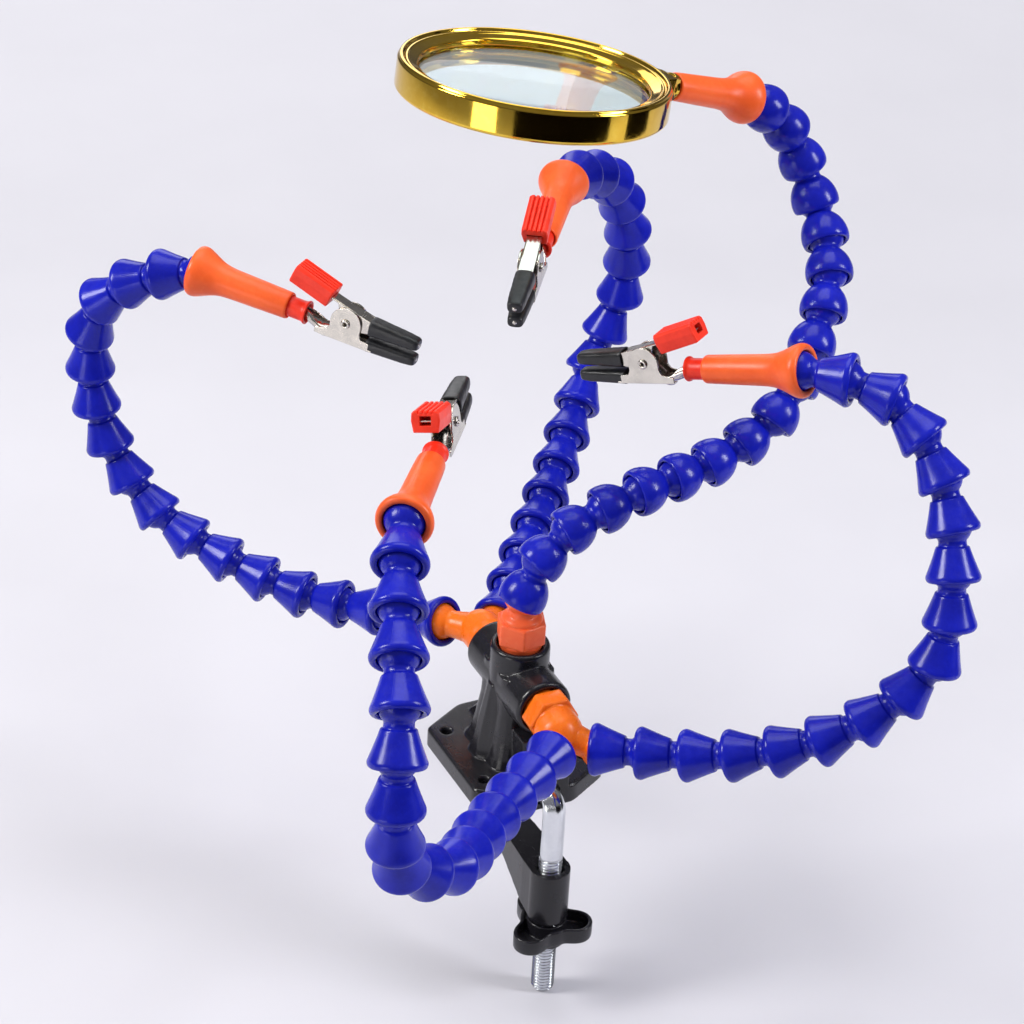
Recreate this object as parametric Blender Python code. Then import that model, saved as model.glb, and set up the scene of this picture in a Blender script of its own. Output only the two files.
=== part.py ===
"""Helping hands clamp: a table clamp base that carries five ball-and-socket hose arms.
Four arms end in a sprung clip and the fifth carries a framed magnifying lens.

World frame: the origin is the centre of the base bracket's underside, on the table top.
+X runs along the table's front edge, +Y into the table and +Z up. Sizes are in millimetres.

A shape is a (points, faces) pair. A profile is a list of (along, radius) pairs.
"""

import math

import bmesh
import bpy
import numpy as np
from mathutils import Matrix, Vector

for old in list(bpy.data.objects):
    bpy.data.objects.remove(old, do_unlink=True)

MM = 0.001
GAP = 0.3  # running clearance between pieces
SHARP_ANGLE = math.radians(40)
WELD = 2e-6  # metres, closes up vertices left by the booleans

# hose
PITCH = 15.0  # ball centre to ball centre, straight cone elements
DOME_PITCH = 13.6  # the same, shorter elements of the magnifier arm
RIM_R = 8.75
DOME_RIM_R = 8.15
RIM_WALL = 0.65
NECK_R = 5.15
BALL_R = 6.5
SEAT_R = 7.05
RIM_BACK = 3.0  # the rim stands this far behind the ball centre
CONE_END = 6.9  # ball centre to the cone's narrow end, at PITCH
BORE_R = 3.0
HOSE_SIDES = 10

# nozzle
NOZZLE_LEN = 33.0  # ball centre to tip
NOZZLE_TIP_R = 4.6
NOZZLE_BORE_R = 3.85
NOZZLE_MOUTH_R = 8.0

# base bracket
PLATE_HALF_X = 24.0
PLATE_HALF_Y = 28.6
PLATE_SIDE_Y = 19.5
PLATE_FLAT_X = 8.25
PLATE_T = 7.0
PLATE_BEVEL = 0.8
TOWER_TOP = 48.2
PORT_R = 10.0
PORT_CHAMFER = 1.0
PORT_BORE_R = 6.6
PORT_DEPTH = 11.0
PORT_REACH = 20.0  # bracket centre to the mouth of the front and back ports
FRONT_PORT_Z = 33.8
BACK_PORT_Z = 34.5
SCREW_HOLE_R = 1.7
SCREW_X = 18.4
SCREW_Y = 15.0

# clamp
ROD_R = 4.0
ROD_X = -1.0
ROD_Y = -33.0
ROD_LEG_Z = 5.2
ROD_LEG_END_Y = -12.0
ROD_END_Z = -73.0
ROD_BEND_R = 4.3
ROD_SIDES = 12
ROD_PHASE = math.radians(15)
ROD_SLIDE_GAP = 0.45  # round the rod, in the jaw and the knob
JAW_TOP_Z = -21.5
JAW_BOSS_R = 6.9
JAW_BOSS_H = 20.6
JAW_LOW_Z = JAW_TOP_Z - JAW_BOSS_H
JAW_REACH = 40.0
KNOB_TOP_Z = -43.2
KNOB_H = 6.0
KNOB_LOW_Z = KNOB_TOP_Z - KNOB_H
KNOB_LOBE_AT = 9.8
KNOB_LOBE_R = 5.8
KNOB_WAIST_R = 9.4
KNOB_SIDES = 36

# connectors
SPIGOT_R = PORT_BORE_R - GAP - 0.1
SPIGOT_DEPTH = 9.0
LIMB_ROOT_R = 5.0
LIMB_NECK_R = 4.6
LIMB_BORE_R = BORE_R - 0.15
BODY_R = 7.2
ROUND_SIDES = 18
BORE_SIDES = 10
BORE_OVERRUN = 12.0  # how far a bore cutter runs past a mouth or a ball centre

# clip, drawn 42 mm long from the nozzle's tip and made larger by CLIP_SIZE
CLIP_SIZE = 1.12
PIVOT_X = 19.0
PIVOT_Z = 2.5
PIVOT = (PIVOT_X, 0, PIVOT_Z)
PIVOT_HOLE_R = 1.5
JAW_TIP_X = 42.0
SHEET_T = 0.6
CHEEK_T = 0.5
LOWER_HALF_W = 3.1
UPPER_HALF_W = 2.25
GRIP_X = 8.3
GRIP_LENGTH = 13.5
GRIP_HALF_W = 4.0
GRIP_H = 6.0
GRIP_RIBS = 5

# magnifier
LENS_FRAME_R = 44.0
LENS_FRAME_H = 11.0
LENS_HALF_H = LENS_FRAME_H / 2
LENS_OPEN_R = 37.0
LENS_LEDGE_Z = 2.4 - LENS_HALF_H  # ledge under the lens, from the frame's mid-plane
LENS_HALF_EDGE = 1.1
LENS_RISE = 2.6
LENS_MID_Z = LENS_LEDGE_Z + GAP + LENS_HALF_EDGE
LENS_SIDES = 36

# Each arm: the points its curve passes through, from its base ball to its nozzle's tip,
# the number of elements, the element at which each hose section starts,
# and the direction in which the clip's lever stands.
ARMS = {
    "left": dict(
        path=[
            (-10, 42, 33), (-22.5, 68, 24.5), (-41, 91, 22), (-61, 112.5, 28.5),
            (-79.5, 132.5, 41), (-91, 149, 63), (-95.5, 154, 92), (-93, 146.5, 120.5),
            (-68.5, 117, 141), (-46.5, 93, 136.5),
        ],
        count=17, starts=(0, 4, 8, 12), lever=(0.1, 0.0, 1.0),
    ),
    "right": dict(
        path=[
            (10.5, -40.5, 28.5), (34, -58.5, 32), (55.5, -77.5, 41), (77, -91.5, 56),
            (96.5, -97.5, 78), (102, -92.5, 107), (103.5, -77.5, 133), (94, -57.5, 152.5),
            (73.5, -36, 155), (56, -10, 145.5),
        ],
        count=16, starts=(0, 4, 9, 12), lever=(0.0, 0.0, 1.0),
    ),
    "front": dict(
        path=[
            (-8.5, -41, 31), (-32, -60, 33.5), (-53, -80.5, 39), (-72, -101.5, 48.5),
            (-93.5, -113.5, 64), (-99.5, -121, 92), (-96, -113.5, 120.5), (-87, -91, 138),
            (-74.5, -66.5, 150), (-55, -40.5, 150),
        ],
        count=16, starts=(0, 4, 9, 13), lever=(-0.2, 0.0, 1.0),
    ),
    "back": dict(
        path=[
            (12, 40, 32), (31.5, 62, 39.5), (50.5, 83.5, 47.5), (69, 105, 57.5),
            (86.5, 124, 72), (99, 127.5, 98.5), (96.5, 121.5, 127.5), (83, 112.5, 152.5),
            (52, 87.5, 168), (32, 61.5, 164),
        ],
        count=17, starts=(0, 4, 9, 13), lever=(-0.2, -0.2, 1.0),
    ),
    "magnifier": dict(
        path=[
            (0, 0, 66.5), (6, 0, 79), (16.5, 0.5, 88), (42, 0, 97.5),
            (69, 2.5, 101.5), (93.5, 5, 113), (110, 13, 133.5), (123, 28, 151),
            (127.5, 49.5, 168), (119, 58, 191), (98, 53.5, 207), (67.5, 47, 218),
        ],
        count=18, starts=(0, 4, 9, 13),
    ),
}

# ---------------------------------------------------------------- materials


def material(name, colour, roughness, metallic=0.0, alpha=1.0):
    made = bpy.data.materials.new(name)
    made.use_nodes = True
    inputs = made.node_tree.nodes["Principled BSDF"].inputs
    inputs["Base Color"].default_value = (*colour, 1.0)
    inputs["Roughness"].default_value = roughness
    inputs["Metallic"].default_value = metallic
    inputs["Alpha"].default_value = alpha
    made.diffuse_color = (*colour, 1.0)
    return made


BLUE = material("blue_acetal", colour=(0.008, 0.016, 0.43), roughness=0.28)
ORANGE = material("orange_connector", colour=(1.0, 0.2, 0.012), roughness=0.32)
CORAL = material("coral_connector", colour=(1.0, 0.14, 0.05), roughness=0.35)
NOZZLE_ORANGE = material("nozzle_orange", colour=(1.0, 0.15, 0.03), roughness=0.4)
BLACK = material("black_nylon", colour=(0.021, 0.019, 0.026), roughness=0.38)
ZINC = material("zinc_plated_steel", colour=(0.72, 0.74, 0.76), roughness=0.28, metallic=1.0)
STEEL = material("nickel_steel", colour=(0.62, 0.6, 0.56), roughness=0.25, metallic=1.0)
RED = material("red_vinyl", colour=(0.95, 0.045, 0.012), roughness=0.42)
GOLD = material("gold_plate", colour=(0.83, 0.6, 0.09), roughness=0.12, metallic=1.0)
GLASS = material("lens_glass", colour=(0.86, 0.95, 0.94), roughness=0.02, alpha=0.35)

# ---------------------------------------------------------------- vectors and rings


def vec(point):
    return np.array(point, float)


def unit(vector):
    vector = vec(vector)
    return vector / np.linalg.norm(vector)


def side_of(axis, hint):
    """The part of hint that is square to axis, as a unit vector."""
    hint = vec(hint)
    return unit(hint - axis * float(hint @ axis))


def turned(vector, start, end):
    """The vector carried by the smallest rotation that takes unit vector start to end."""
    cross = np.cross(start, end)
    sine, cosine = float(np.linalg.norm(cross)), float(start @ end)
    if sine < 1e-9:
        return vector
    axis = cross / sine
    along = axis * float(axis @ vector)
    return vector * cosine + np.cross(axis, vector) * sine + along * (1 - cosine)


def circle(centre, side, up, radius, sides, phase=0.0):
    """A ring of points. The radius may be an array with one value for each point."""
    angle = phase + np.arange(sides) * (2 * math.pi / sides)
    across = np.outer(np.cos(angle) * radius, side)
    return vec(centre) + across + np.outer(np.sin(angle) * radius, up)


def rectangle(x0, x1, y0, y1):
    return [(x0, y0), (x1, y0), (x1, y1), (x0, y1)]


def octagon(half_x, half_y, flat_x, flat_y):
    """A cut-cornered rectangle. The flats are half the lengths of its straight sides."""
    return [
        (half_x, -flat_y), (half_x, flat_y), (flat_x, half_y), (-flat_x, half_y),
        (-half_x, flat_y), (-half_x, -flat_y), (-flat_x, -half_y), (flat_x, -half_y),
    ]


def ring_at(outline, axis, value):
    """A flat outline as a ring, with value as its coordinate on axis 0, 1 or 2."""
    return np.insert(np.array(outline, float), axis, value, axis=1)


# ---------------------------------------------------------------- shapes


def skin(rings, closed=False):
    """One surface through the rings.
    A ring may hold half or twice as many points as its neighbour.
    An open stack is capped, and a closed one returns to its first ring."""
    points, faces, first = [], [], []
    for ring in rings:
        first.append(len(points))
        points.extend(ring)
    spans = list(zip(range(len(rings)), range(1, len(rings))))
    if closed:
        spans.append((len(rings) - 1, 0))
    for this, other in spans:
        count, other_count = len(rings[this]), len(rings[other])
        start, other_start = first[this], first[other]
        if count == other_count:
            for i in range(count):
                j = (i + 1) % count
                faces.append((start + i, start + j, other_start + j, other_start + i))
            continue
        flip = count < other_count
        wide, narrow = (other_start, start) if flip else (start, other_start)
        wide_count, narrow_count = max(count, other_count), min(count, other_count)
        for i in range(narrow_count):
            j = (i + 1) % narrow_count
            left = wide + 2 * i
            middle = left + 1
            right = wide + (2 * i + 2) % wide_count
            for face in (
                (left, middle, narrow + i),
                (middle, right, narrow + j),
                (middle, narrow + j, narrow + i),
            ):
                faces.append(face[::-1] if flip else face)
    if not closed:
        faces.append(tuple(range(len(rings[0])))[::-1])
        faces.append(tuple(range(first[-1], first[-1] + len(rings[-1]))))
    return np.array(points), faces


def turn_solid(
    profile, sides, origin=(0, 0, 0), axis=(0, 0, 1), hint=(1, 0, 0), closed=False, phase=0.0
):
    """A profile turned about axis."""
    axis = unit(axis)
    side = side_of(axis, hint)
    up = np.cross(axis, side)
    centre = vec(origin)
    rings = [circle(centre + axis * a, side, up, r, sides, phase) for a, r in profile]
    return skin(rings, closed)


def sweep(line, radii, sides, hint, phase=0.0):
    """A round bar along a polyline, with one radius for each point."""
    line = [vec(point) for point in line]
    rings = []
    for k, (point, radius) in enumerate(zip(line, radii)):
        axis = unit(line[min(k + 1, len(line) - 1)] - line[max(k - 1, 0)])
        side = side_of(axis, hint)
        rings.append(circle(point, side, np.cross(axis, side), radius, sides, phase))
    return skin(rings)


def prism(outline, z0, z1, bevel=0.0):
    """A straight prism on an (x, y) outline, its top edge drawn in by bevel."""
    outline = np.array(outline, float)
    if not bevel:
        return skin([ring_at(outline, 2, z0), ring_at(outline, 2, z1)])
    centre = outline.mean(axis=0)
    away = outline - centre
    inset = centre + away * (1 - bevel / np.linalg.norm(away, axis=1)[:, None])
    return skin([ring_at(outline, 2, z0), ring_at(outline, 2, z1 - bevel), ring_at(inset, 2, z1)])


def box(x0, x1, y0, y1, z0, z1):
    return prism(rectangle(x0, x1, y0, y1), z0, z1)


def ball_profile(at, radius, first_deg, last_deg, steps):
    """A profile round a ball, angles measured from its rear pole."""
    return [
        (at - radius * math.cos(angle), radius * math.sin(angle))
        for angle in np.radians(np.linspace(first_deg, last_deg, steps))
    ]


def shifted(profile, distance):
    return [(along + distance, radius) for along, radius in profile]


# ---------------------------------------------------------------- meshes and objects


def volume_sign(points, faces):
    """Six times the enclosed volume, negative where the faces point inwards."""
    total = 0.0
    for face in faces:
        for k in range(1, len(face) - 1):
            cross = np.cross(points[face[k]], points[face[k + 1]])
            total += float(np.dot(points[face[0]], cross))
    return total


def mesh_from(name, shape, origin=(0, 0, 0)):
    """A mesh in metres with points relative to origin and faces turned outwards."""
    points, faces = shape
    points = np.asarray(points, float) - vec(origin)
    if volume_sign(points, faces) < 0:
        faces = [face[::-1] for face in faces]
    mesh = bpy.data.meshes.new(name)
    mesh.from_pydata([tuple(point * MM) for point in points], [], faces)
    mesh.validate()
    mesh.update()
    return mesh


def joined(name, base, adds=(), cuts=(), origin=(0, 0, 0)):
    """A mesh: base with every shape in adds joined on and every shape in cuts taken out."""

    def linked(helper_name, shape):
        helper = bpy.data.objects.new(helper_name, mesh_from(helper_name, shape))
        bpy.context.collection.objects.link(helper)
        return helper

    body = linked(name + "_blank", base)
    helpers = []
    for kind, shapes in (("UNION", adds), ("DIFFERENCE", cuts)):
        for k, shape in enumerate(shapes):
            helper = linked(f"{name}_{kind.lower()}_{k}", shape)
            helper.hide_render = True
            helpers.append(helper)
            step = body.modifiers.new(f"{kind.lower()}_{k}", "BOOLEAN")
            step.operation = kind
            step.object = helper
            step.solver = "EXACT"
    bpy.context.view_layer.update()
    graph = bpy.context.evaluated_depsgraph_get()
    mesh = bpy.data.meshes.new_from_object(body.evaluated_get(graph))
    mesh.name = name
    for helper in [body, *helpers]:
        bpy.data.objects.remove(helper, do_unlink=True)
    work = bmesh.new()
    work.from_mesh(mesh)
    bmesh.ops.remove_doubles(work, verts=work.verts, dist=WELD)
    bmesh.ops.dissolve_degenerate(work, edges=work.edges, dist=WELD)
    work.to_mesh(mesh)
    work.free()
    mesh.transform(Matrix.Translation(-Vector(vec(origin) * MM)))
    return mesh


WORLD = {}  # world matrix of each object by name


def add(name, mesh, mat, origin=(0, 0, 0), parent=None, rotation=None):
    obj = bpy.data.objects.new(name, mesh)
    bpy.context.collection.objects.link(obj)
    place = Matrix.Translation(Vector(vec(origin) * MM))
    if rotation is not None:
        place = place @ rotation.to_4x4()
    if parent is not None:
        obj.parent = parent
        obj.matrix_parent_inverse = WORLD[parent.name].inverted()
    obj.matrix_basis = place
    WORLD[name] = place
    if not mesh.materials:  # the clips share their meshes
        mesh.materials.append(mat)
    mesh.shade_smooth()
    mesh.set_sharp_from_angle(angle=SHARP_ANGLE)
    return obj


def add_shape(name, shape, mat, origin=(0, 0, 0), parent=None):
    """An object from a shape drawn in world coordinates."""
    return add(name, mesh_from(name, shape, origin), mat, origin, parent)


# ---------------------------------------------------------------- base bracket

# each port: axis origin, direction, where its barrel starts and where its mouth is
PORTS = [
    ((0, 0, 0), (0, 0, 1), 26.0, TOWER_TOP),
    ((0, 0, FRONT_PORT_Z), (0, -1, 0), 2.0, PORT_REACH),
    ((0, 0, BACK_PORT_Z), (0, 1, 0), 2.0, PORT_REACH),
]
# height, half x, half y, corner cut
TOWER_STATIONS = [
    (PLATE_T - 1, 15.0, 15.5, 5.0),
    (14.0, 12.5, 13.0, 4.5),
    (26.0, 10.2, 11.0, 4.0),
    (TOWER_TOP - 8, 9.6, 10.2, 4.0),
]


def tower():
    """A cut-cornered square column that spreads towards the plate."""
    return skin([
        ring_at(octagon(half_x, half_y, half_x - cut, half_y - cut), 2, z)
        for z, half_x, half_y, cut in TOWER_STATIONS
    ])


def rib(angle_deg, reach, height, half_width):
    """A flat web that runs down from the tower to the plate."""
    cosine, sine = math.cos(math.radians(angle_deg)), math.sin(math.radians(angle_deg))
    # distance from the tower's axis, height
    outline = [(4.0, 5.0), (reach, 5.0), (reach, PLATE_T + 1.5), (9.0, height), (4.0, height)]

    def ring(offset):
        return np.array([
            (out * cosine - offset * sine, out * sine + offset * cosine, z) for out, z in outline
        ])

    return skin([ring(-half_width), ring(half_width)])


def port_barrel(origin, axis, start, mouth):
    profile = [
        (start, PORT_R),
        (mouth - PORT_CHAMFER, PORT_R),
        (mouth, PORT_R - PORT_CHAMFER),
    ]
    return turn_solid(profile, 20, origin, axis)


def port_bore(origin, axis, mouth):
    profile = [(mouth - PORT_DEPTH, PORT_BORE_R), (mouth + 2, PORT_BORE_R)]
    return turn_solid(profile, 20, origin, axis)


def screw_hole(x, y):
    return turn_solid([(-2, SCREW_HOLE_R), (PLATE_T + 2, SCREW_HOLE_R)], 10, (x, y, 0))


def build_bracket():
    plate_outline = octagon(PLATE_HALF_X, PLATE_HALF_Y, PLATE_FLAT_X, PLATE_SIDE_Y)
    rod_block = box(ROD_X - 7.4, ROD_X + 7.4, -PLATE_HALF_Y, -6.0, 0.6, 11.2)
    rod_hole = turn_solid(
        [(10.0, ROD_R + GAP), (PLATE_HALF_Y + 8, ROD_R + GAP)],
        ROD_SIDES, (ROD_X, 0, ROD_LEG_Z), (0, -1, 0), phase=ROD_PHASE,
    )
    adds = [
        tower(),
        *[port_barrel(*port) for port in PORTS],
        rod_block,
        *[rib(angle, 21.0, 24.0, 1.6) for angle in (32, 148, 212, 328)],
        rib(90, 22.0, 26.0, 5.0),
    ]
    cuts = [
        *[port_bore(origin, axis, mouth) for origin, axis, _, mouth in PORTS],
        rod_hole,
        *[
            screw_hole(x * SCREW_X, y * SCREW_Y)
            for x, y in ((1, 1), (-1, 1), (-1, -1), (1, -1))
        ],
    ]
    plate = prism(plate_outline, 0.0, PLATE_T, PLATE_BEVEL)
    add("base_bracket", joined("base_bracket", plate, adds, cuts), BLACK)


build_bracket()

# ---------------------------------------------------------------- clamp

ROD_AXIS = (ROD_X, ROD_Y, 0)


def build_rod():
    """A level leg in the bracket, a bend and a long upright leg with a chamfered end."""
    line = [(ROD_X, ROD_LEG_END_Y, ROD_LEG_Z)]
    for k in range(6):
        angle = math.radians(90 * k / 5)
        y = ROD_Y + ROD_BEND_R * (1 - math.sin(angle))
        z = ROD_LEG_Z - ROD_BEND_R * (1 - math.cos(angle))
        line.append((ROD_X, y, z))
    line += [(ROD_X, ROD_Y, z) for z in (-24.0, ROD_END_Z + 1.2, ROD_END_Z)]
    radii = [ROD_R] * (len(line) - 1) + [ROD_R - 0.9]
    add_shape("clamp_rod", sweep(line, radii, ROD_SIDES, (1, 0, 0), ROD_PHASE), ZINC)


def build_jaw():
    """A boss that slides on the rod and an arm that reaches under the table."""
    # distance from the rod, half width, underside
    stations = [
        (0.0, JAW_BOSS_R - 0.4, JAW_LOW_Z + 1.0),
        (14.0, 6.2, JAW_LOW_Z + 5.5),
        (JAW_REACH - 4, 5.2, JAW_TOP_Z - 6.0),
        (JAW_REACH, 4.2, JAW_TOP_Z - 4.0),
    ]
    arm = skin([
        ring_at(rectangle(ROD_X - half, ROD_X + half, low, JAW_TOP_Z), 1, ROD_Y + y)
        for y, half, low in stations
    ])
    boss = turn_solid([(JAW_LOW_Z, JAW_BOSS_R), (JAW_TOP_Z, JAW_BOSS_R)], 18, ROD_AXIS)
    hole_r = ROD_R + ROD_SLIDE_GAP
    hole = turn_solid(
        [(JAW_LOW_Z - 3, hole_r), (JAW_TOP_Z + 3, hole_r)], ROD_SIDES, ROD_AXIS, phase=ROD_PHASE
    )
    origin = (ROD_X, ROD_Y, JAW_TOP_Z)
    return add("clamp_jaw", joined("clamp_jaw", boss, [arm], [hole], origin), BLACK, origin)


def knob_outline():
    """The radii of the knob's three-lobed outline, one for each side."""
    radii = []
    for k in range(KNOB_SIDES):
        angle = 2 * math.pi * k / KNOB_SIDES
        reach = KNOB_WAIST_R
        for lobe in range(3):
            turn = angle - math.radians(90 + 120 * lobe)
            # the lobe's centre, along and across the ray at this angle
            along = math.cos(turn) * KNOB_LOBE_AT
            across = math.sin(turn) * KNOB_LOBE_AT
            if along > 0 and abs(across) < KNOB_LOBE_R:
                reach = max(reach, along + math.sqrt(KNOB_LOBE_R**2 - across**2))
        radii.append(reach)
    return np.array(radii)


def build_knob(jaw):
    low, top = KNOB_LOW_Z, KNOB_TOP_Z
    lobed = knob_outline()
    # height, radius: up the lobed wall, into the hollow top, over the hub and down its bore
    stations = [
        (low, lobed - 0.6), (low + 0.6, lobed), (top, lobed),
        (top, lobed - 1.5), (low + 1.8, lobed - 1.8),
        (low + 1.8, 7.0), (top + 0.6, 6.7), (top + 0.6, 5.75),
        (low - 2.6, 5.75), (low - 2.6, 6.6), (low, 6.8),
    ]
    knob = skin(
        [circle((ROD_X, ROD_Y, z), (1, 0, 0), (0, 1, 0), r, KNOB_SIDES) for z, r in stations],
        closed=True,
    )
    hole_r = ROD_R + ROD_SLIDE_GAP
    insert = turn_solid(
        [(low - 2.2, 5.4), (top + 0.2, 5.4), (top + 0.2, hole_r), (low - 2.2, hole_r)],
        ROD_SIDES, ROD_AXIS, closed=True, phase=ROD_PHASE,
    )
    origin = (ROD_X, ROD_Y, low)
    add_shape("clamp_knob", knob, BLACK, origin, jaw)
    add_shape("knob_insert", insert, ZINC, origin, jaw)


build_rod()
build_knob(build_jaw())

# ---------------------------------------------------------------- connectors

LIMB_HINT = (0.1, 0.2, 1.0)
# collar profiles, measured from the port's mouth
TOP_HEX = [(1.0, 7.6), (1.8, 8.6), (7.6, 8.6), (8.4, 7.8)]
TOP_SHOULDER = [(7.4, 6.4), (9.2, 6.0), (9.9, 5.0)]
FRONT_HEX = [(0.4, 7.9), (1.2, 8.9), (6.9, 8.9), (7.7, 8.0)]
BACK_COLLAR = [(0.4, 7.4), (2.4, 7.4), (3.0, 6.9), (3.6, 6.9), (8, 6.9)]


def limb(start, ball):
    """A neck and ball from start to the ball centre."""
    start, ball = vec(start), vec(ball)
    length = float(np.linalg.norm(ball - start))
    neck_deg = math.degrees(math.asin(LIMB_NECK_R / BALL_R))
    profile = [(0.0, LIMB_ROOT_R), *ball_profile(length, BALL_R, neck_deg, 152, 5)]
    return turn_solid(profile, 12, start, ball - start, LIMB_HINT)


def limb_bore(start, ball):
    reach = vec(ball) - start
    end = float(np.linalg.norm(reach)) + BORE_OVERRUN
    return turn_solid([(0.0, LIMB_BORE_R), (end, LIMB_BORE_R)], 8, start, reach, LIMB_HINT)


def build_top_connector():
    """A spigot, a hex and one upright neck with a ball."""
    ball = ARMS["magnifier"]["path"][0]
    spigot = [(-SPIGOT_DEPTH, SPIGOT_R), (0.4, SPIGOT_R), (0.4, 7.0), (1.6, 7.0)]
    adds = [
        turn_solid(shifted(TOP_HEX, TOWER_TOP), 6),
        turn_solid(shifted(TOP_SHOULDER, TOWER_TOP), ROUND_SIDES),
        limb((0, 0, TOWER_TOP + 8.3), ball),
    ]
    bore = turn_solid(
        [(TOWER_TOP - BORE_OVERRUN, BORE_R), (ball[2] + BORE_OVERRUN, BORE_R)], BORE_SIDES
    )
    base = turn_solid(shifted(spigot, TOWER_TOP), ROUND_SIDES)
    add("top_connector", joined("top_connector", base, adds, [bore]), CORAL)


def build_y_connector(name, sign, port_z, collar, collar_sides, body_out, body_z, arms):
    """A spigot, a collar, a round body and two necks with balls.
    The body's centre stands body_out beyond the port's mouth, on the side given by sign."""

    def on_axis(profile, sides):
        return turn_solid(profile, sides, (0, 0, port_z), (0, sign, 0))

    body_at = PORT_REACH + body_out
    centre = vec((0, sign * body_at, body_z))
    balls = [ARMS[arm]["path"][0] for arm in arms]
    body = [(PORT_REACH + 5.0, BODY_R), *ball_profile(body_at, BODY_R, 90, 150, 4)]
    spigot = [(PORT_REACH - SPIGOT_DEPTH, SPIGOT_R), (PORT_REACH + 1.2, SPIGOT_R)]
    bore = [(PORT_REACH - BORE_OVERRUN, BORE_R), (body_at, BORE_R)]
    adds = [
        on_axis(shifted(collar, PORT_REACH), collar_sides),
        on_axis(body, ROUND_SIDES),
        *[limb(centre, ball) for ball in balls],
    ]
    cuts = [on_axis(bore, BORE_SIDES), *[limb_bore(centre, ball) for ball in balls]]
    add(name, joined(name, on_axis(spigot, ROUND_SIDES), adds, cuts), ORANGE)


build_top_connector()
build_y_connector(
    "front_y_connector", sign=-1, port_z=FRONT_PORT_Z, collar=FRONT_HEX, collar_sides=6,
    body_out=10.5, body_z=FRONT_PORT_Z - 2.0, arms=("right", "front"),
)
build_y_connector(
    "back_y_connector", sign=1, port_z=BACK_PORT_Z, collar=BACK_COLLAR,
    collar_sides=ROUND_SIDES, body_out=9.5, body_z=BACK_PORT_Z, arms=("left", "back"),
)

# ---------------------------------------------------------------- clip meshes, shared by four arms
# The clip's frame has its origin on the nozzle's axis at its tip, +X along the nozzle
# and +Z to the lever side. The pieces on the pivot are drawn from the pivot instead.

# (x, z) along the top face of the upper jaw
LEVER_LINE = [(1.5, 12.35), (14.0, 8.6), (26.0, 5.5), (JAW_TIP_X, 3.6)]
# x, half width, low, high
LOWER_JAW_BAR = [(25.8, 2.9, -4.3, -0.1), (38.5, 2.3, -3.5, -0.1), (JAW_TIP_X, 1.4, -2.5, -0.3)]
UPPER_JAW_BAR = [(25.8, 2.9, 0.75, 6.1), (38.5, 2.3, 1.35, 4.7), (JAW_TIP_X, 1.4, 1.55, 3.5)]
# x, radius, widening along Y, z
TAIL_STATIONS = [
    (-2.0, 1.9, 1.0, 0.0), (7.0, 1.9, 1.0, -0.6), (9.5, 1.5, 1.5, -2.0), (12.5, 0.9, 2.2, -2.8)
]


def eight_sided_bar(stations):
    rings = []
    for x, half, low, high in stations:
        cut = 0.3 * min(2 * half, high - low)
        outline = [
            (-half, low + cut), (-half + cut, low), (half - cut, low), (half, low + cut),
            (half, high - cut), (half - cut, high), (-half + cut, high), (-half, high - cut),
        ]
        rings.append(ring_at(outline, 0, x))
    return skin(rings)


def cheeks(outline, half_width):
    """Two upright sheets with one (x, z) outline, flush with the sides of a jaw."""
    inner = half_width - CHEEK_T
    return [
        skin([ring_at(outline, 1, y0), ring_at(outline, 1, y1)])
        for y0, y1 in ((-half_width, -inner), (inner, half_width))
    ]


def pivot_arc(radius, degrees):
    return [
        (PIVOT_X + radius * math.cos(angle), PIVOT_Z + radius * math.sin(angle))
        for angle in map(math.radians, degrees)
    ]


def pivot_hole():
    return turn_solid([(-9, PIVOT_HOLE_R), (9, PIVOT_HOLE_R)], 10, PIVOT, (0, 1, 0))


def lever_z(x):
    """Height of the top face of the upper jaw."""
    return np.interp(x, *zip(*LEVER_LINE))


def clip_lower():
    """A channel with two ears at the pivot, a round tail and an eight-sided jaw."""
    ear_r = 4.9
    ear_back = PIVOT_X - ear_r - 3.0
    ear = [
        (PIVOT_X + ear_r + 2.2, -3.4), *pivot_arc(ear_r, range(0, 181, 20)),
        (ear_back, -2.2), (ear_back, -3.4),
    ]
    floor = box(9.0, 27.5, -LOWER_HALF_W, LOWER_HALF_W, -3.0 - SHEET_T, -3.0)
    tail = skin([
        circle((x, 0, z), (0, widening, 0), (0, 0, 1), radius, 10)
        for x, radius, widening, z in TAIL_STATIONS
    ])
    stud = turn_solid(
        [(2.4, 1.2), (3.4, 1.2), (4.3, 1.7), (4.9, 1.5)], 8, (12.0, 0, 0), (0, 0, -1)
    )
    adds = [*cheeks(ear, LOWER_HALF_W), tail, eight_sided_bar(LOWER_JAW_BAR), stud]
    return joined("clip_lower", floor, adds, [pivot_hole()])


def clip_upper():
    """A bent sheet with two cheeks at the pivot and an eight-sided jaw."""
    back, front = 15.6, 27.5
    cheek = [
        (back, lever_z(back) - 0.2), (back, lever_z(back) - 2.2),
        *pivot_arc(2.9, range(180, 361, 30)),
        (front, 2.2), (front, lever_z(front) - 0.2),
    ]
    sheet = skin([
        ring_at(rectangle(-UPPER_HALF_W, UPPER_HALF_W, lever_z(x) - SHEET_T, lever_z(x)), 0, x)
        for x in (2.2, 14.0, front)
    ])
    adds = [*cheeks(cheek, UPPER_HALF_W), eight_sided_bar(UPPER_JAW_BAR)]
    return joined("clip_upper", sheet, adds, [pivot_hole()], PIVOT)


def clip_rivet():
    profile = [(-3.9, 1.5), (-3.4, 1.9), (-3.4, 1.15), (3.4, 1.15), (3.4, 1.9), (3.9, 1.5)]
    return mesh_from("clip_rivet", turn_solid(profile, 10, axis=(0, 1, 0)))


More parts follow.
